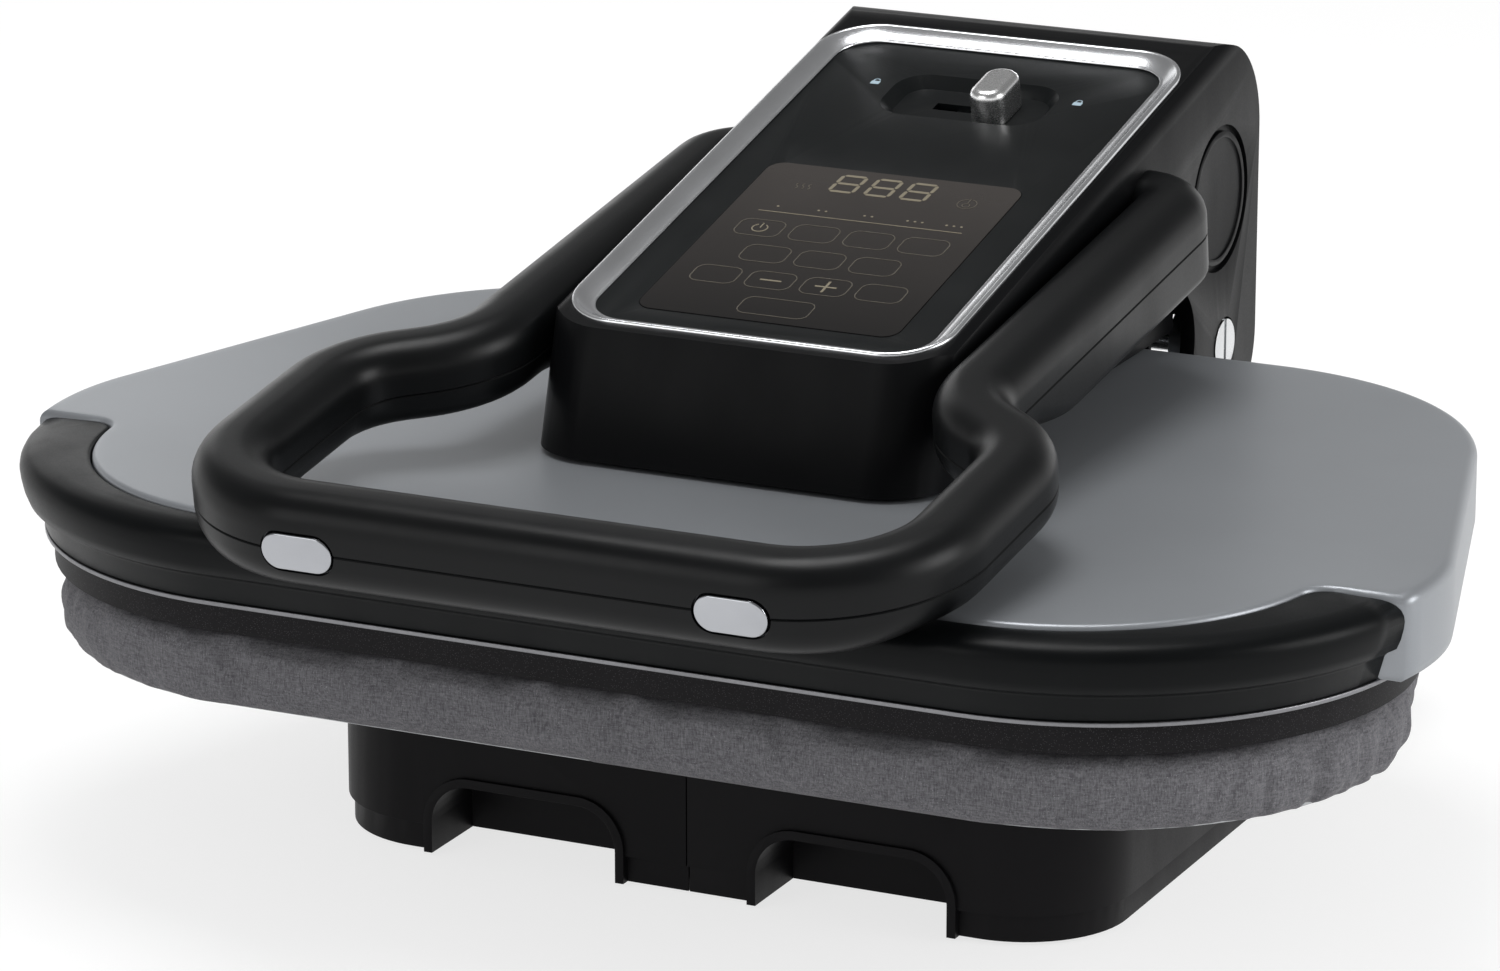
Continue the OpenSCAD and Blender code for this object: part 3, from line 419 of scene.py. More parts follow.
# plate plan, from the plate's front edge
plate = {
    "halfWidth": 0.319, "depth": 0.423, "frontRadius": 0.150, "wideAt": 0.168, "backHalf": 0.244625,
    "sideRadius": 0.126, "backRadius": 0.130, "rimWidth": 0.019, "rimSide": 0.042, "rimEnd": 0.120,
    "innerRadius": 0.110, "notch": 0.012, "seam": 0.0003,
    "innerSteps": 44, "notchSteps": 16, "backGap": 0.014, "frontGap": 0.016,
}
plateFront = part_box("plate_rim")[0].y
plateLow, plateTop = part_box("plate_cover")[0].z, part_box("plate_cover")[1].z
plateCorners = [(-plate["halfWidth"], 0), (plate["halfWidth"], 0),
                (plate["halfWidth"], plate["wideAt"]), (plate["backHalf"], plate["depth"]),
                (-plate["backHalf"], plate["depth"]), (-plate["halfWidth"], plate["wideAt"])]
plateRadii = [plate[k + "Radius"] for k in ("front", "front", "side", "back", "back", "side")]
plateEdge = roundedOutline(plateCorners, plateRadii)


# seam between rim and cover, from the left end to the right: notch, arc, front, arc, notch
def rimInnerEdge():
    p = plate
    inner = np.array([p["halfWidth"] - p["rimSide"] - p["innerRadius"], p["rimWidth"] + p["innerRadius"]])
    notchY = p["rimEnd"] - p["notch"]
    gap = p["innerRadius"] + p["notch"]
    notch = np.array([inner[0] + math.sqrt(gap ** 2 - (inner[1] - notchY) ** 2), notchY])
    meet = math.atan2(notch[1] - inner[1], notch[0] - inner[0])
    arc = arcPoints(inner, p["innerRadius"], -math.pi / 2, meet, p["innerSteps"])
    curl = arcPoints(notch, p["notch"], meet + math.pi, math.pi / 2, p["notchSteps"])
    right = np.concatenate([arc, curl[1:]])
    return np.concatenate([right[::-1] * [-1, 1], right])


def orderedEdge(part, start, end):
    order = np.argsort(np.arctan2(part[:, 1] - start[1], part[:, 0]))
    return np.concatenate([[start], part[order], [end]])


def plateLoops():
    p = plate
    reach, end = p["frontRadius"], p["rimEnd"]
    endX = p["halfWidth"] - reach + math.sqrt(reach ** 2 - (reach - end) ** 2)
    right, left = (endX, end), (-endX, end)
    back = orderedEdge(plateEdge[plateEdge[:, 1] > end + p["backGap"]], right, left)
    front = orderedEdge(plateEdge[plateEdge[:, 1] < end - p["frontGap"]], left, right)
    inner = rimInnerEdge()
    cover = np.concatenate([back, inner])
    rim = np.concatenate([front, inner[::-1]])
    return cover, len(back) - 1, rim, len(front) - 1


# rows hold the inset and height at the outer edge and at the seam, from the bottom up
def skirtedSlab(loop, outerCount, rows):
    outer = np.arange(len(loop)) < outerCount
    both = outer & np.roll(outer, 1)
    one = outer | np.roll(outer, 1)
    rings = []
    for outerIn, seamIn, outerZ, seamZ in rows:
        flat = insetLoop(loop, np.where(outer, outerIn, seamIn))
        z = np.where(both, outerZ, np.where(one, min(outerZ, seamZ), seamZ))
        rings.append(np.column_stack([flat[:, 0], flat[:, 1] + plateFront, z + plateLow]))
    return loftRings(rings)


# grey cover: a thin shell with a soft edge all round
coverForm = {
    "edge": 0.005, "seamEdge": 0.0026, "wall": 0.004, "steps": 7, "skirtIn": 0.012, "seamIn": 0.006,
    "lipIn": 0.0016, "lip": 0.0006, "lipTop": 0.004, "flatIn": 0.004, "seamFlat": 0.003,
}


def buildCover():
    f, seam, high = coverForm, plate["seam"], plateTop - plateLow
    under = high - f["wall"]
    rows = [(f["skirtIn"], f["seamIn"], under, under), (f["skirtIn"], f["seamIn"], 0.0, 0.0),
            (f["lipIn"], seam + f["lip"], 0.0, 0.0), (f["lip"], seam, f["lip"], f["lip"]),
            (0.0, seam, f["lipTop"], f["lipTop"])]
    for k in range(f["steps"] + 1):
        a = math.pi / 2 * k / f["steps"]
        rows.append((f["edge"] * (1 - math.cos(a)), seam + f["seamEdge"] * (1 - math.cos(a)),
                     high - f["edge"] * (1 - math.sin(a)), high - f["seamEdge"] * (1 - math.sin(a))))
    rows.append((f["edge"] + f["flatIn"], seam + f["seamEdge"] + f["seamFlat"], high, high))
    loop, count, _, _ = plateLoops()
    verts, faces = skirtedSlab(loop, count, rows)
    cover = newPiece("plateCover", verts, faces, "coverGrey", "head")
    tidyNormals(cover)
    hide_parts("plate_cover")


# black front rim: top falls away outwards, side draws in under a fine step
rimForm = {
    "side": [(0.0112, 0.0), (0.0104, 0.0008), (0.0078, 0.0105), (0.0062, 0.0124), (0.0046, 0.0130),
             (0.0030, 0.0140), (0.0014, 0.0180), (0.0004, 0.0225), (0.0, 0.0258), (0.0004, 0.0282),
             (0.0016, 0.0304), (0.0036, 0.0322), (0.0062, 0.0334), (0.0092, 0.0341)],
    "top": 0.0346, "seamEdge": 0.0014, "softRows": 4, "flatIn": 0.0122, "seamFlat": 0.001,
}


def buildRim():
    f, seam = rimForm, plate["seam"]
    top, soft = f["top"], f["seamEdge"]
    last = len(f["side"]) - 1
    rows = []
    for k, (inset, z) in enumerate(f["side"]):
        share = max(0.0, (k - last + f["softRows"]) / f["softRows"])
        turn = share * math.pi / 2
        low = min(z, top - soft) if k > 1 else z
        seamZ = low if share == 0 else top - soft * (1 - math.sin(turn))
        rows.append((inset, seam + soft * (1 - math.cos(turn)), z, seamZ))
    rows.append((f["flatIn"], seam + soft + f["seamFlat"], top, top))
    _, _, loop, count = plateLoops()
    verts, faces = skirtedSlab(loop, count, rows)
    rim = newPiece("plateRim", verts, faces, "rimBlack", "head")
    tidyNormals(rim)
    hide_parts("plate_rim")


buildCover()
buildRim()
print("plate cover and rim made")


# loop handle in two halves: front bar, round corners, side runs, s bends, arms that turn into the head
handle = {
    "halfWidth": 0.1745, "section": 0.034, "up": 0.0215, "round": 0.014, "groove": 0.0006,
    "parting": 0.00004, "frontLow": 0.0195, "sideLow": 0.0155, "armLow": 0.0215, "armRound": 0.006,
    "reach": 0.0438, "lift": 0.012, "tilt": 7.9, "corner": 0.056, "sideRun": 0.059, "slant": 0.010,
    "rise": 0.8, "run": 0.6, "armX": 0.112, "armEnd": 0.3985, "endRound": 0.0175,
    "frontEase": (0.003, 0.034), "armEase": (0.008, 0.06), "sharp": 38,
    "frontSteps": 36, "cornerSteps": 30, "sideSteps": 14, "bendSteps": 18, "armSteps": 34,
    "endSteps": 12, "roundSteps": 9,
}

# button recesses and screw bores, placed as the solids have them
handleCuts = {
    "reach": 0.044, "tilt": 10.0, "buttonX": 0.0965, "buttonLength": 0.032, "buttonHeight": 0.016,
    "gap": 0.001, "deep": 0.0045, "out": 0.008, "roundSteps": 20,
    "screws": [(-0.045, 0), (0.045, 0), (-0.112, 0.3), (0.112, 0.3)],
    "bore": 0.0035, "boreLow": -0.05, "boreTop": -0.013, "boreSteps": 28,
}


def loopPlace(reach, tilt):
    start = (0, plateFront + handle["section"] / 2 - reach, plateTop + handle["lift"])
    return Matrix.Translation(start) @ Matrix.Rotation(math.radians(tilt), 4, "X")


# right half of the path from the middle of the front bar: x, distance up the loop, heading
def handlePath():
    h = handle
    side, c = h["halfWidth"] - h["section"] / 2, h["corner"]
    bend = (side - h["armX"] - h["slant"] * h["rise"]) / (2 * (1 - h["run"]))
    turn, quarter = math.atan2(h["rise"], h["run"]), math.pi / 2
    sideEnd = c + h["sideRun"]
    armStart = sideEnd + 2 * bend * h["rise"] + h["slant"] * h["run"]
    spots = [(x, 0, 0) for x in np.linspace(0, side - c, h["frontSteps"])]
    spots += [(side - c + c * math.sin(a), c - c * math.cos(a), a)
              for a in np.linspace(0, quarter, h["cornerSteps"])[1:]]
    spots += [(side, v, quarter) for v in np.linspace(c, sideEnd, h["sideSteps"])[1:]]
    spots += [(side - bend * (1 - math.cos(a)), sideEnd + bend * math.sin(a), quarter + a)
              for a in np.linspace(0, turn, h["bendSteps"])[1:]]
    spots += [(h["armX"] + bend * (1 - math.cos(a)), armStart - bend * math.sin(a), quarter + a)
              for a in np.linspace(turn, 0, h["bendSteps"])]
    spots += [(h["armX"], v, quarter) for v in np.linspace(armStart, h["armEnd"], h["armSteps"])[1:]]
    spots += [(h["armX"] - h["endRound"] * (1 - math.cos(a)), h["armEnd"] + h["endRound"] * math.sin(a),
               quarter + a) for a in np.linspace(0, quarter, h["endSteps"])[1:]]
    return spots, armStart


def easeBetween(value, start, end):
    t = min(1.0, max(0.0, (value - start) / (end - start)))
    return t * t * (3 - 2 * t)


def halfSection(tall, radius, sign):
    h = handle
    a, g = h["section"] / 2, h["groove"]
    over = arcPoints((a - radius, tall - radius), radius, 0, math.pi / 2, h["roundSteps"])
    half = [(a - g, h["parting"]), (a, g)] + [tuple(p) for p in over]
    shape = half + [(-x, z) for x, z in reversed(half)]
    return np.array(shape) * [1, sign]


def handleRings(upper):
    h = handle
    right, armStart = handlePath()
    left = [(-x, v, -a) for x, v, a in reversed(right[1:])]
    place = loopPlace(h["reach"], h["tilt"])
    rings = []
    for x, v, a in left + right:
        arm = easeBetween(v - armStart, *h["armEase"])
        low = h["frontLow"] + (h["sideLow"] - h["frontLow"]) * easeBetween(v, *h["frontEase"])
        low += (h["armLow"] - h["sideLow"]) * arm
        radius = h["round"] if upper else h["round"] + (h["armRound"] - h["round"]) * arm
        flat = halfSection(h["up"] if upper else low, radius, 1 if upper else -1)
        rings.append(np.array([place @ Vector((x + math.sin(a) * s, v - math.cos(a) * s, z))
                               for s, z in flat]))
    return rings


def handleCutter():
    c = handleCuts
    place = loopPlace(c["reach"], c["tilt"])
    faceOn = Matrix.Rotation(math.radians(90), 4, "X")
    front, radius = handle["section"] / 2, c["buttonHeight"] / 2 + c["gap"]
    straight = (c["buttonLength"] - c["buttonHeight"]) / 2
    recess = np.concatenate([
        arcPoints((straight, 0), radius, -math.pi / 2, math.pi / 2, c["roundSteps"]),
        arcPoints((-straight, 0), radius, math.pi / 2, math.pi * 1.5, c["roundSteps"])])
    parts = []
    for x in (-c["buttonX"], c["buttonX"]):
        at = place @ Matrix.Translation((x, 0, 0)) @ faceOn
        parts.append(prism(recess, front - c["deep"], front + c["out"], at))
    for x, v in c["screws"]:
        bore = arcPoints((x, v), c["bore"], 0, 2 * math.pi, c["boreSteps"])[:-1]
        parts.append(prism(bore, c["boreLow"], c["boreTop"], place))
    tool = newPiece("handleCutter", *joinParts(parts), "handleBlack", None, smooth=False)
    tidyNormals(tool)
    return tool


def buildHandle():
    tool = handleCutter()
    for name, upper, node, slot in (("handleUpper", True, "handle_upper", "handle_black"),
                                    ("handleLower", False, "handle_lower", "handle_black_low")):
        half = newPiece(name, *loftRings(handleRings(upper)), "handleBlack", None)
        tidyNormals(half)
        cut = half.modifiers.new("cut", "BOOLEAN")
        cut.operation = "DIFFERENCE"
        cut.solver = "EXACT"
        cut.object = tool
        asMesh(half)
        half.data.shade_smooth()
        keepSharp(half, handle["sharp"])
        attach(half, "head")
        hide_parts(node)
    bpy.data.objects.remove(tool)


buildHandle()
print("handle made")


# padded board: cloth drawn over foam, gathered under the plate's ends
board = {
    "profile": [(0.055, -0.0022), (0.028, -0.0022), (0.0212, -0.0008), (0.0182, 0.004), (0.0172, 0.011),
                (0.017, 0.017), (0.0176, 0.023), (0.0196, 0.0275), (0.0245, 0.0308), (0.034, 0.0323),
                (0.06, 0.0328)],
    "ringStep": 0.008, "voxel": 0.0048, "frames": 16, "cap": 0.0035, "heldTop": 0.0022, "heldLow": 0.0024,
    "cloth": {"quality": 4, "mass": 0.25, "tension_stiffness": 12, "compression_stiffness": 8,
              "bending_stiffness": 0.4, "use_pressure": True, "uniform_pressure_force": 3.5,
              "vertex_group_mass": "held", "shrink_min": -0.03},
    "edgeIn": 0.018, "edgeStep": 0.003, "wallDeep": 0.012, "foldDepth": 0.0021, "foldWidth": 0.0135,
    "foldFrom": 0.235, "foldBack": 0.33, "foldOver": 0.05, "flatShare": 0.04, "foldScale": 2.4,
    "waves": [(1, 1, 0.4), (1.63, 0.9, 2.1), (0.61, 0.5, 4.4), (2.9, 0.7, 1.3)],  # width, share, phase
    "lean": 0.006, "wander": 0.004, "wanderRun": 0.047, "hemDrop": 0.0005, "hemHigh": 0.2,
    "hemRuns": (0.011, 0.0047), "tuck": 0.0035, "clear": 0.0002, "baseGap": 0.004,
}


def padMesh():
    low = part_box("board_cover")[0].z
    rings = []
    for inset, z in board["profile"]:
        ring = roundedOutline(plateCorners, plateRadii, inset, board["ringStep"])
        rings.append(np.column_stack([ring[:, 0], ring[:, 1] + plateFront, np.full(len(ring), low + z)]))
    return loftRings(rings)


def coordsOf(mesh):
    flat = np.zeros(len(mesh.vertices) * 3)
    mesh.vertices.foreach_get("co", flat)
    return flat.reshape(-1, 3)


def settlePad(pad):
    before = coordsOf(pad.data)
    low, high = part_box("board_cover")
    held = pad.vertex_groups.new(name="held")
    still = (before[:, 2] > high.z - board["heldTop"]) | (before[:, 2] < low.z + board["heldLow"])
    held.add([int(i) for i in np.nonzero(still)[0]], 1.0, "REPLACE")
    cloth = pad.modifiers.new("cloth", "CLOTH")
    for key, value in board["cloth"].items():
        setattr(cloth.settings, key, value)
    cloth.settings.effector_weights.gravity = 0
    cloth.point_cache.frame_start, cloth.point_cache.frame_end = 1, board["frames"]
    for number in range(1, board["frames"] + 1):
        scene.frame_set(number)
    asMesh(pad)
    scene.frame_set(1)
    moved = coordsOf(pad.data) - before
    far = np.linalg.norm(moved, axis=1)
    moved *= np.minimum(1, board["cap"] / np.maximum(far, 1e-9))[:, None]
    pad.data.vertices.foreach_set("co", (before + moved).ravel())
    print("board cloth settled, largest move", round(float(far.max()) / mm, 2), "mm")


# for each spot: distance along the board's edge, outward heading, share of the way into the wall
def besideEdge(spots):
    edge = roundedOutline(plateCorners, plateRadii, board["edgeIn"], board["edgeStep"])
    edge = np.column_stack([edge[:, 0], edge[:, 1] + plateFront])
    run = np.concatenate([[0], np.cumsum(np.linalg.norm(np.diff(edge, axis=0), axis=1))])
    chunks = 40  # keeps the table of distances small
    near = np.concatenate([np.argmin(((part[:, None, :2] - edge[None]) ** 2).sum(2), 1)
                           for part in np.array_split(spots, chunks)])
    ahead = np.roll(edge, -1, 0) - np.roll(edge, 1, 0)
    out = np.stack([ahead[:, 1], -ahead[:, 0]], 1) / np.linalg.norm(ahead, axis=1)[:, None]
    depth = ((spots[:, :2] - edge[near]) * out[near]).sum(1)
    return run[near], out[near], np.clip(1 + depth / board["wallDeep"], 0, 1)


def gatherPad(pad):
    b = board
    low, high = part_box("board_cover")
    spots = coordsOf(pad.data)
    along, out, wall = besideEdge(spots)
    height = (spots[:, 2] - low.z) / (high.z - low.z)
    side = np.clip((np.abs(spots[:, 0]) - b["foldFrom"]) / b["foldOver"], 0, 1)
    side = np.maximum(side, np.clip((spots[:, 1] - plateFront - b["foldBack"]) / b["foldOver"], 0, 1))
    rest = b["flatShare"] + (1 - b["flatShare"]) * side
    fold = np.zeros(len(spots))
    for k, (width, share, phase) in enumerate(b["waves"]):
        lean = (height - 0.4) * b["lean"] * math.sin(k * 2.3)
        place = along + lean + b["wander"] * np.sin(along / b["wanderRun"] + k)
        fold += share * np.sin(2 * math.pi * place / (b["foldWidth"] * width) + phase)
    fold = np.where(fold > 0, np.abs(fold) ** 0.8, -np.abs(fold) ** 1.15) / b["foldScale"]
    fade = np.clip(1.12 - 0.85 * height, 0, 1)
    spots[:, :2] += out * (b["foldDepth"] * fold * wall * rest * fade)[:, None]
    hem = np.clip((b["hemHigh"] - height) / b["hemHigh"], 0, 1) * wall
    longRun, shortRun = b["hemRuns"]
    spots[:, 2] += hem * b["hemDrop"] * (np.sin(along / longRun) + np.sin(along / shortRun + 1.7)) * 0.5
    baseLow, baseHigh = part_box("base_left")[0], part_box("base_right")[1]
    onBase = np.abs(spots[:, 0]) < baseHigh.x + b["baseGap"]
    onBase &= spots[:, 1] > baseLow.y - b["baseGap"]
    lowest = np.where(onBase, low.z + b["clear"], low.z - b["tuck"])
    spots[:, 2] = np.clip(spots[:, 2], lowest, high.z - b["clear"])
    pad.data.vertices.foreach_set("co", spots.ravel())
    pad.data.update()


def buildBoard():
    pad = newPiece("boardPad", *padMesh(), "boardCloth", None)
    tidyNormals(pad)
    remesh = pad.modifiers.new("remesh", "REMESH")
    remesh.mode = "VOXEL"
    remesh.voxel_size = board["voxel"] * 1
    asMesh(pad)
    settlePad(pad)
    finer = pad.modifiers.new("finer", "SUBSURF")
    finer.levels = finer.render_levels = 1
    asMesh(pad)
    gatherPad(pad)
    pad.data.materials.clear()
    pad.data.materials.append(finishes["boardCloth"])
    pad.data.shade_smooth()
    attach(pad, "base")
    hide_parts("board_cover", "board_foam")


buildBoard()
print("board pad made")


# control panel frame: x across, u up the slope, w off the surface
panel = {
    "y": 0.166, "z": 0.2325, "tilt": 13.0, "halfWidth": 0.089, "length": 0.304, "corner": 0.028,
    "ringStep": 0.0018, "glassTop": -0.0038, "recessTop": -0.004,
}
onPanel = (Matrix.Translation((0, panel["y"] + plateFront, panel["z"]))
           @ Matrix.Rotation(math.radians(panel["tilt"]), 4, "X"))


def panelRing(inset, w):
    b, l = panel["halfWidth"], panel["length"]
    flat = roundedOutline([(-b, 0), (b, 0), (b, l), (-b, l)], [panel["corner"]] * 4, inset,
                          panel["ringStep"])
    return np.array([onPanel @ Vector((x, u, w)) for x, u in flat])


# bright bezel: rolled outer edge, slope down to the panel, fine inner lip
bezelSection = [(0.0, -0.0040), (0.0, 0.0004), (0.0003, 0.0010), (0.0009, 0.0014), (0.0017, 0.0014),
                (0.0023, 0.0010), (0.0028, 0.0004), (0.0082, -0.0028), (0.0087, -0.0029), (0.0094, -0.0027),
                (0.0099, -0.0030), (0.0100, -0.0040)]


def buildBezel():
    verts, faces = loftRings([panelRing(inset, w) for inset, w in bezelSection], closed=True)
    ring = newPiece("panelBezel", verts, faces, "bezelChrome", "head")
    tidyNormals(ring)
    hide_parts("bezel")


buildBezel()
print("bezel made")


# display print, drawn flat in panel millimetres and laid on the glass
displayPrint = {
    "thick": 0.00012, "keyWidth": 21.4, "keyDepth": 15.0, "startWidth": 33.0, "corner": 4.6, "line": 0.5,
    "keys": [(x, 105.7) for x in (-39, -13, 13, 39)] + [(x, 83.0) for x in (-26, 0, 26)]
            + [(x, 60.3) for x in (-39, -13, 13, 39)],
    "start": [(0, 37.3)],
    "dots": [(-40, 127.0), (-20.5, 127.2), (-17, 127.2), (1.5, 127.2), (5, 127.2), (22, 127.2),
             (25.5, 127.2), (29, 127.2), (44, 127.2), (47.5, 127.2), (40.5, 127.2)],
    "dot": 0.62,
    "numbers": [(-24.5, 146.6), (-7.5, 146.6), (9.5, 146.6)],
    "number": {"wide": 11.2, "tall": 15.4, "thick": 1.7, "gap": 0.35, "lean": 0.06},
    # bars run from x, u to x, u with a width; arcs have x, u, radius, width, start, end, steps
    "bars": [(-47, 121.6, 50, 121.6, 0.55), (-39, 105.8, -39, 110.2, 0.6), (-18, 60.3, -8, 60.3, 1.1),
             (8, 60.3, 18, 60.3, 1.1), (13, 55.3, 13, 59.7, 1.1), (13, 60.9, 13, 65.3, 1.1)],
    "arcs": [(-39, 105.6, 3.5, 0.6, 120, 420, 28)],
    "faintBars": [(41, 149.5, 41, 153.6, 0.4)],
    "faintArcs": [(x, 146.5, 1.4, 0.4, -60, 60, 8) for x in (-41, -38, -35)]
                 + [(x, 149, 1.4, 0.4, 120, 240, 8) for x in (-39.6, -36.6, -33.6)]
                 + [(41, 148.5, 4.4, 0.4, 100, 440, 28), (41, 147.2, 1.7, 0.4, 0, 360, 16)],
    "locks": [(-49.6, 255.2, True), (49.6, 255.2, False)],
    "lock": {"half": 2.1, "low": -2.6, "high": 0.4, "ringUp": 1.2, "ring": 1.35, "line": 0.5, "leg": 1.25},
}


def layOnPanel(piece, lift):
    piece.data.transform(onPanel @ Matrix.Translation((0, 0, lift)))
    piece.data.update()


# one shape on every spot, with named inputs for its sizes
def printTree(name, sizes, makeShape):
    tree = bpy.data.node_groups.new(name, "GeometryNodeTree")
    face = tree.interface
    face.new_socket("Spots", in_out="INPUT", socket_type="NodeSocketGeometry")
    for label, value in sizes:
        face.new_socket(label, in_out="INPUT", socket_type="NodeSocketFloat").default_value = value
    face.new_socket("Finish", in_out="INPUT", socket_type="NodeSocketMaterial")
    face.new_socket("Print", in_out="OUTPUT", socket_type="NodeSocketGeometry")
    make, link = tree.nodes.new, tree.links.new
    given, result = make("NodeGroupInput"), make("NodeGroupOutput")
    put = make("GeometryNodeInstanceOnPoints")
    link(given.outputs["Spots"], put.inputs["Points"])
    link(makeShape(make, link, given.outputs), put.inputs["Instance"])
    real = make("GeometryNodeRealizeInstances")
    link(put.outputs["Instances"], real.inputs["Geometry"])
    paint = make("GeometryNodeSetMaterial")
    link(real.outputs["Geometry"], paint.inputs["Geometry"])
    link(given.outputs["Finish"], paint.inputs["Material"])
    link(paint.outputs["Geometry"], result.inputs["Print"])
    return tree


def keyShape(make, link, given):
    box = make("GeometryNodeCurvePrimitiveQuadrilateral")
    link(given["Width"], box.inputs["Width"])
    link(given["Depth"], box.inputs["Height"])
    fillet = make("GeometryNodeFilletCurve")
    fillet.mode = "POLY"
    fillet.inputs["Count"].default_value = 8
    link(box.outputs["Curve"], fillet.inputs["Curve"])
    link(given["Corner"], fillet.inputs["Radius"])
    stroke = make("GeometryNodeCurvePrimitiveQuadrilateral")
    link(given["Line"], stroke.inputs["Width"])
    link(given["Thick"], stroke.inputs["Height"])
    sweep = make("GeometryNodeCurveToMesh")
    link(fillet.outputs["Curve"], sweep.inputs["Curve"])
    link(stroke.outputs["Curve"], sweep.inputs["Profile Curve"])
    return sweep.outputs["Mesh"]


def dotShape(make, link, given):
    disc = make("GeometryNodeMeshCylinder")
    disc.inputs["Vertices"].default_value = 20
    link(given["Radius"], disc.inputs["Radius"])
    link(given["Thick"], disc.inputs["Depth"])
    return disc.outputs["Mesh"]


def socketOf(tree, label):
    return next(s.identifier for s in tree.interface.items_tree
                if s.name == label and s.in_out == "INPUT")


def growOnSpots(name, tree, spots, sizes, finish, lift):
    piece = newPiece(name, [(x * mm, u * mm, 0) for x, u in spots], [], finish, None, smooth=False)
    grow = piece.modifiers.new("grow", "NODES")
    grow.node_group = tree
    for label, value in sizes.items():
        grow[socketOf(tree, label)] = value
    grow[socketOf(tree, "Finish")] = finishes[finish]
    asMesh(piece)
    layOnPanel(piece, lift)
    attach(piece, "head")


def slabShapes(name, shapes, finish, lift, thick):
    flat = Matrix.Identity(4)
    parts = [prism([(x * mm, u * mm) for x, u in shape], -thick / 2, thick / 2, flat) for shape in shapes]
    piece = newPiece(name, *joinParts(parts), finish, None, smooth=False)
    tidyNormals(piece)
    layOnPanel(piece, lift)
    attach(piece, "head")


def bar(x0, u0, x1, u1, width):
    a, b = np.array([x0, u0], float), np.array([x1, u1], float)
    d = (b - a) / np.linalg.norm(b - a)
    n = np.array([-d[1], d[0]]) * width / 2
    return [tuple(a - n), tuple(b - n), tuple(b + n), tuple(a + n)]


def ringArc(x, u, radius, width, start, end, count):
    turn = np.radians(np.linspace(start, end, count + 1))
    near, far = radius - width / 2, radius + width / 2
    return [[(x + r * math.cos(t), u + r * math.sin(t)) for r, t in ((near, a), (far, a), (far, b), (near, b))]
            for a, b in zip(turn[:-1], turn[1:])]


# seven bars of a number place, pointed ends
def numberBars(x, u):
    n = displayPrint["number"]
    half, gap, t = n["tall"] / 2, n["gap"], n["thick"] / 2
    shapes = []
    for row in (u, u + half, u + n["tall"]):
        a, b = x + gap, x + n["wide"] - gap
        shapes.append([(a, row), (a + t, row - t), (b - t, row - t),
                       (b, row), (b - t, row + t), (a + t, row + t)])
    for col in (x, x + n["wide"]):
        for foot in (u, u + half):
            a, b = foot + gap, foot + half - gap
            shapes.append([(col, a), (col + t, a + t), (col + t, b - t),
                           (col, b), (col - t, b - t), (col - t, a + t)])
    return [[(px + (pu - u) * n["lean"], pu) for px, pu in shape] for shape in shapes]


def padlock(x, u, opened):
    k = displayPrint["lock"]
    wide, low, high = k["half"], u + k["low"], u + k["high"]
    shapes = [[(x - wide, low), (x + wide, low), (x + wide, high), (x - wide, high)]]
    shapes += ringArc(x, u + k["ringUp"], k["ring"], k["line"], 0, 180, 12)
    for leg in (-k["ring"],) if opened else (-k["ring"], k["ring"]):
        shapes.append(bar(x + leg, high, x + leg, u + k["leg"], k["line"]))
    return shapes


def buildPrint():
    p = displayPrint
    keys = printTree("keyOutlines", (("Width", 0.02), ("Depth", 0.015), ("Corner", 0.004), ("Line", 0.0005),
                                     ("Thick", 0.0001)), keyShape)
    dots = printTree("printDots", (("Radius", 0.0006), ("Thick", 0.0001)), dotShape)
    thick = p["thick"]
    lift = panel["glassTop"] + thick / 2
    size = {"Width": p["keyWidth"] * mm, "Depth": p["keyDepth"] * mm, "Corner": p["corner"] * mm,
            "Line": p["line"] * mm, "Thick": thick}
    growOnSpots("keyOutlines", keys, p["keys"], size, "keyPrint", lift)
    growOnSpots("startOutline", keys, p["start"], {**size, "Width": p["startWidth"] * mm}, "keyPrint", lift)
    growOnSpots("levelDots", dots, p["dots"], {"Radius": p["dot"] * mm, "Thick": thick}, "displayPrint", lift)
    figures = [shape for spot in p["numbers"] for shape in numberBars(*spot)]
    figures += [bar(*row) for row in p["bars"]] + [shape for row in p["arcs"] for shape in ringArc(*row)]
    slabShapes("displayFigures", figures, "displayPrint", lift, thick)
    faint = [shape for row in p["faintArcs"] for shape in ringArc(*row)]
    faint += [bar(*row) for row in p["faintBars"]]
    slabShapes("displayIcons", faint, "keyPrint", lift, thick)
    locks = [shape for row in p["locks"] for shape in padlock(*row)]
    slabShapes("lockMarks", locks, "lockPrint", panel["recessTop"] + thick / 2, thick)


buildPrint()
print("display print made")


# studio: pale floor, soft light, camera at the photograph's angle
studio = {
    "floor": 14.0, "paper": 0.86, "paperSeen": 0.3, "paperGlow": 0.74,
    "daylight": 0.5, "ceiling": 0.2, "ceilingFrom": 0.08, "ceilingTo": 0.34,
    "lamps": [("topLamp", (-0.3, 0.2, 2.2), (0, 0.05, 0.2), 1.0, 24),  # name, spot, aim, size, watts
              ("rightLamp", (2.0, 0.2, 1.0), (0.1, 0, 0.15), 0.9, 18),
              ("backLamp", (-1.9, 1.9, 1.0), (-0.1, 0, 0.2), 1.0, 3),
              ("frontLamp", (-1.0, -2.2, 1.3), (0, 0, 0.15), 1.2, 9)],
    "eye": (1.16225, -2.50842, 0.97472), "azimuth": 25.4074, "elevation": 16.6362, "roll": -0.0092,
    "lens": 159.741, "sensor": 36, "farthest": 60,
}


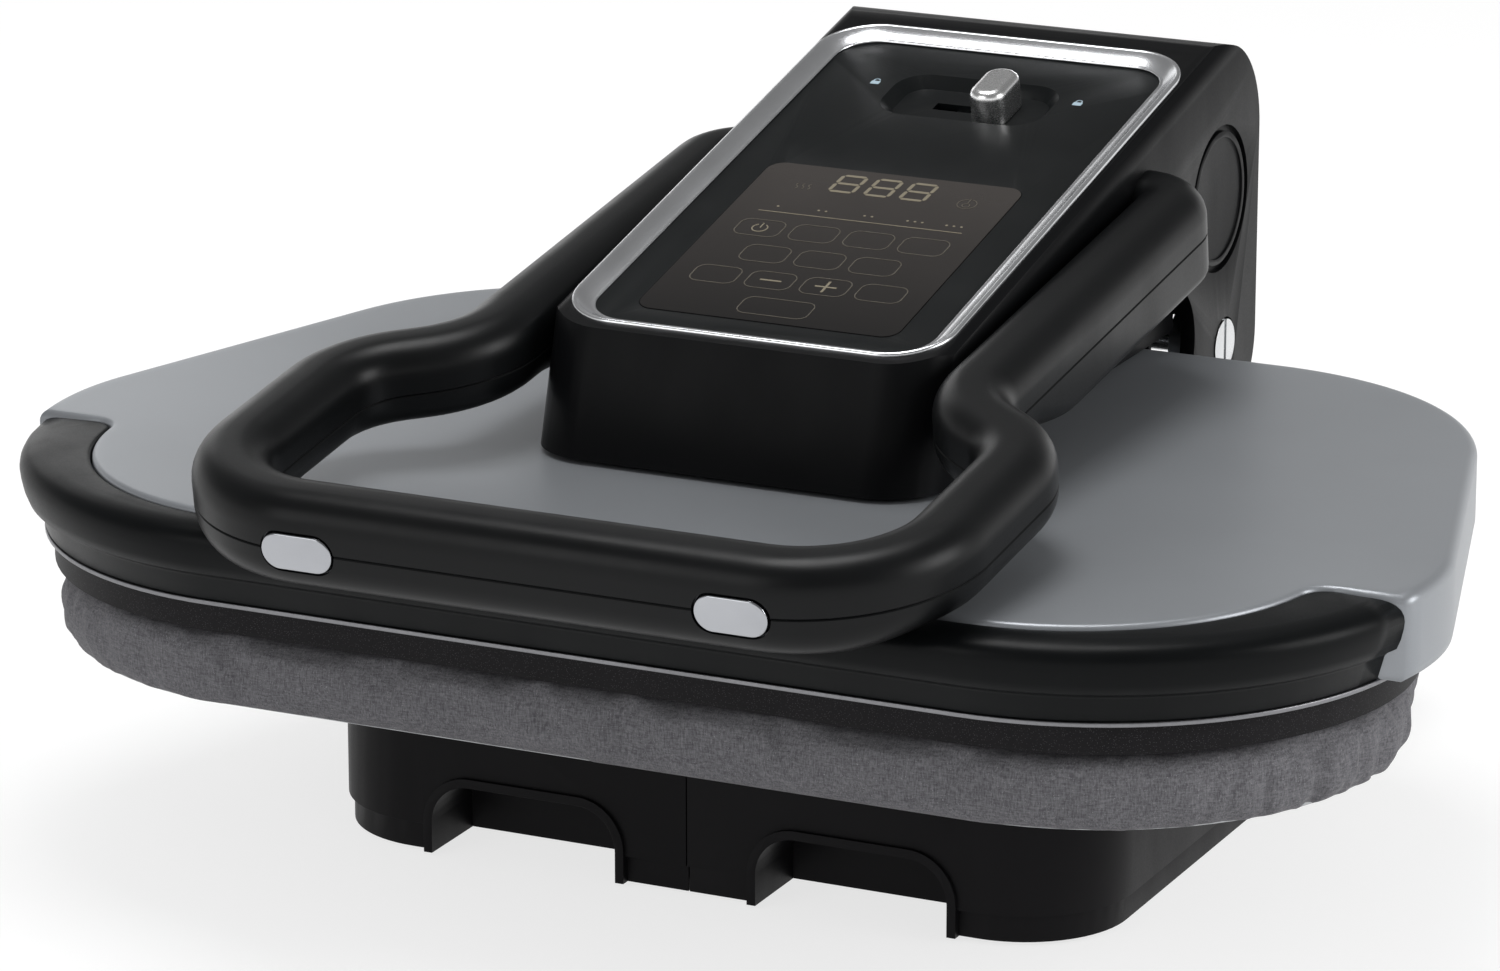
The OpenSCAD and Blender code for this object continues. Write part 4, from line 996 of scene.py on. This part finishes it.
def seesBackdrop(tree):
    path = tree.nodes.new("ShaderNodeLightPath")
    either = reckon(tree, "MAXIMUM", path.outputs["Is Camera Ray"], path.outputs["Is Glossy Ray"])
    return reckon(tree, "MAXIMUM", either, path.outputs["Is Transmission Ray"])


# white at eye level and below, a dim ceiling above for reflections, plain daylight otherwise
def buildWorld():
    world = bpy.data.worlds.new("studioWorld")
    scene.world = world
    world.use_nodes = True
    tree = world.node_tree
    back = tree.nodes["Background"]
    back.inputs["Color"].default_value = (1, 1, 1, 1)
    split = tree.nodes.new("ShaderNodeSeparateXYZ")
    tree.links.new(tree.nodes.new("ShaderNodeTexCoord").outputs["Generated"], split.inputs[0])
    sky = spread(tree, split.outputs["Z"], 1.0, studio["ceiling"], studio["ceilingFrom"], studio["ceilingTo"])
    seen = reckon(tree, "MAXIMUM", sky, tree.nodes.new("ShaderNodeLightPath").outputs["Is Camera Ray"])
    pick = tree.nodes.new("ShaderNodeMix")
    pick.inputs[2].default_value = studio["daylight"]
    tree.links.new(seesBackdrop(tree), pick.inputs[0])
    tree.links.new(seen, pick.inputs[3])
    tree.links.new(pick.outputs[0], back.inputs["Strength"])


# pale paper that shows bright to the camera and keeps the shadow
def buildFloor():
    half = studio["floor"] / 2
    mesh = bpy.data.meshes.new("studioFloor")
    corners = [(-half, -half, 0), (half, -half, 0), (half, half, 0), (-half, half, 0)]
    mesh.from_pydata(corners, [], [(0, 1, 2, 3)])
    floor = bpy.data.objects.new("studioFloor", mesh)
    scene.collection.objects.link(floor)
    paper = bpy.data.materials.new("palePaper")
    paper.use_nodes = True
    tree = paper.node_tree
    tree.nodes.remove(tree.nodes["Principled BSDF"])
    plain, dim = tree.nodes.new("ShaderNodeBsdfDiffuse"), tree.nodes.new("ShaderNodeBsdfDiffuse")
    plain.inputs["Color"].default_value = (*[studio["paper"]] * 3, 1)
    dim.inputs["Color"].default_value = (*[studio["paperSeen"]] * 3, 1)
    glow = tree.nodes.new("ShaderNodeEmission")
    glow.inputs["Strength"].default_value = studio["paperGlow"]
    both, pick = tree.nodes.new("ShaderNodeAddShader"), tree.nodes.new("ShaderNodeMixShader")
    tree.links.new(dim.outputs[0], both.inputs[0])
    tree.links.new(glow.outputs[0], both.inputs[1])
    tree.links.new(seesBackdrop(tree), pick.inputs[0])
    tree.links.new(plain.outputs[0], pick.inputs[1])
    tree.links.new(both.outputs[0], pick.inputs[2])
    tree.links.new(pick.outputs[0], tree.nodes["Material Output"].inputs["Surface"])
    mesh.materials.append(paper)


def buildLamps():
    for name, spot, aim, size, power in studio["lamps"]:
        lamp = bpy.data.lights.new(name, "AREA")
        lamp.shape = "SQUARE"
        lamp.size = size
        lamp.energy = power
        holder = bpy.data.objects.new(name, lamp)
        holder.location = spot
        holder.rotation_euler = (Vector(aim) - Vector(spot)).to_track_quat("-Z", "Y").to_euler()
        scene.collection.objects.link(holder)


def buildCamera():
    eye = bpy.data.objects.new("photoCamera", bpy.data.cameras.new("photoCamera"))
    scene.collection.objects.link(eye)
    a, e, r = (math.radians(studio[k]) for k in ("azimuth", "elevation", "roll"))
    back = Vector((math.sin(a) * math.cos(e), -math.cos(a) * math.cos(e), math.sin(e)))
    right = Vector((math.cos(a), math.sin(a), 0))
    up = back.cross(right)
    right, up = right * math.cos(r) + up * math.sin(r), up * math.cos(r) - right * math.sin(r)
    turn = Matrix((right, up, back)).transposed().to_4x4()
    eye.matrix_world = Matrix.Translation(studio["eye"]) @ turn
    eye.data.lens = studio["lens"]
    eye.data.sensor_width = studio["sensor"]
    eye.data.sensor_fit = "HORIZONTAL"
    eye.data.clip_end = studio["farthest"]
    scene.camera = eye
    scene.view_settings.view_transform = "Standard"


buildWorld()
buildFloor()
buildLamps()
buildCamera()
print("studio set")
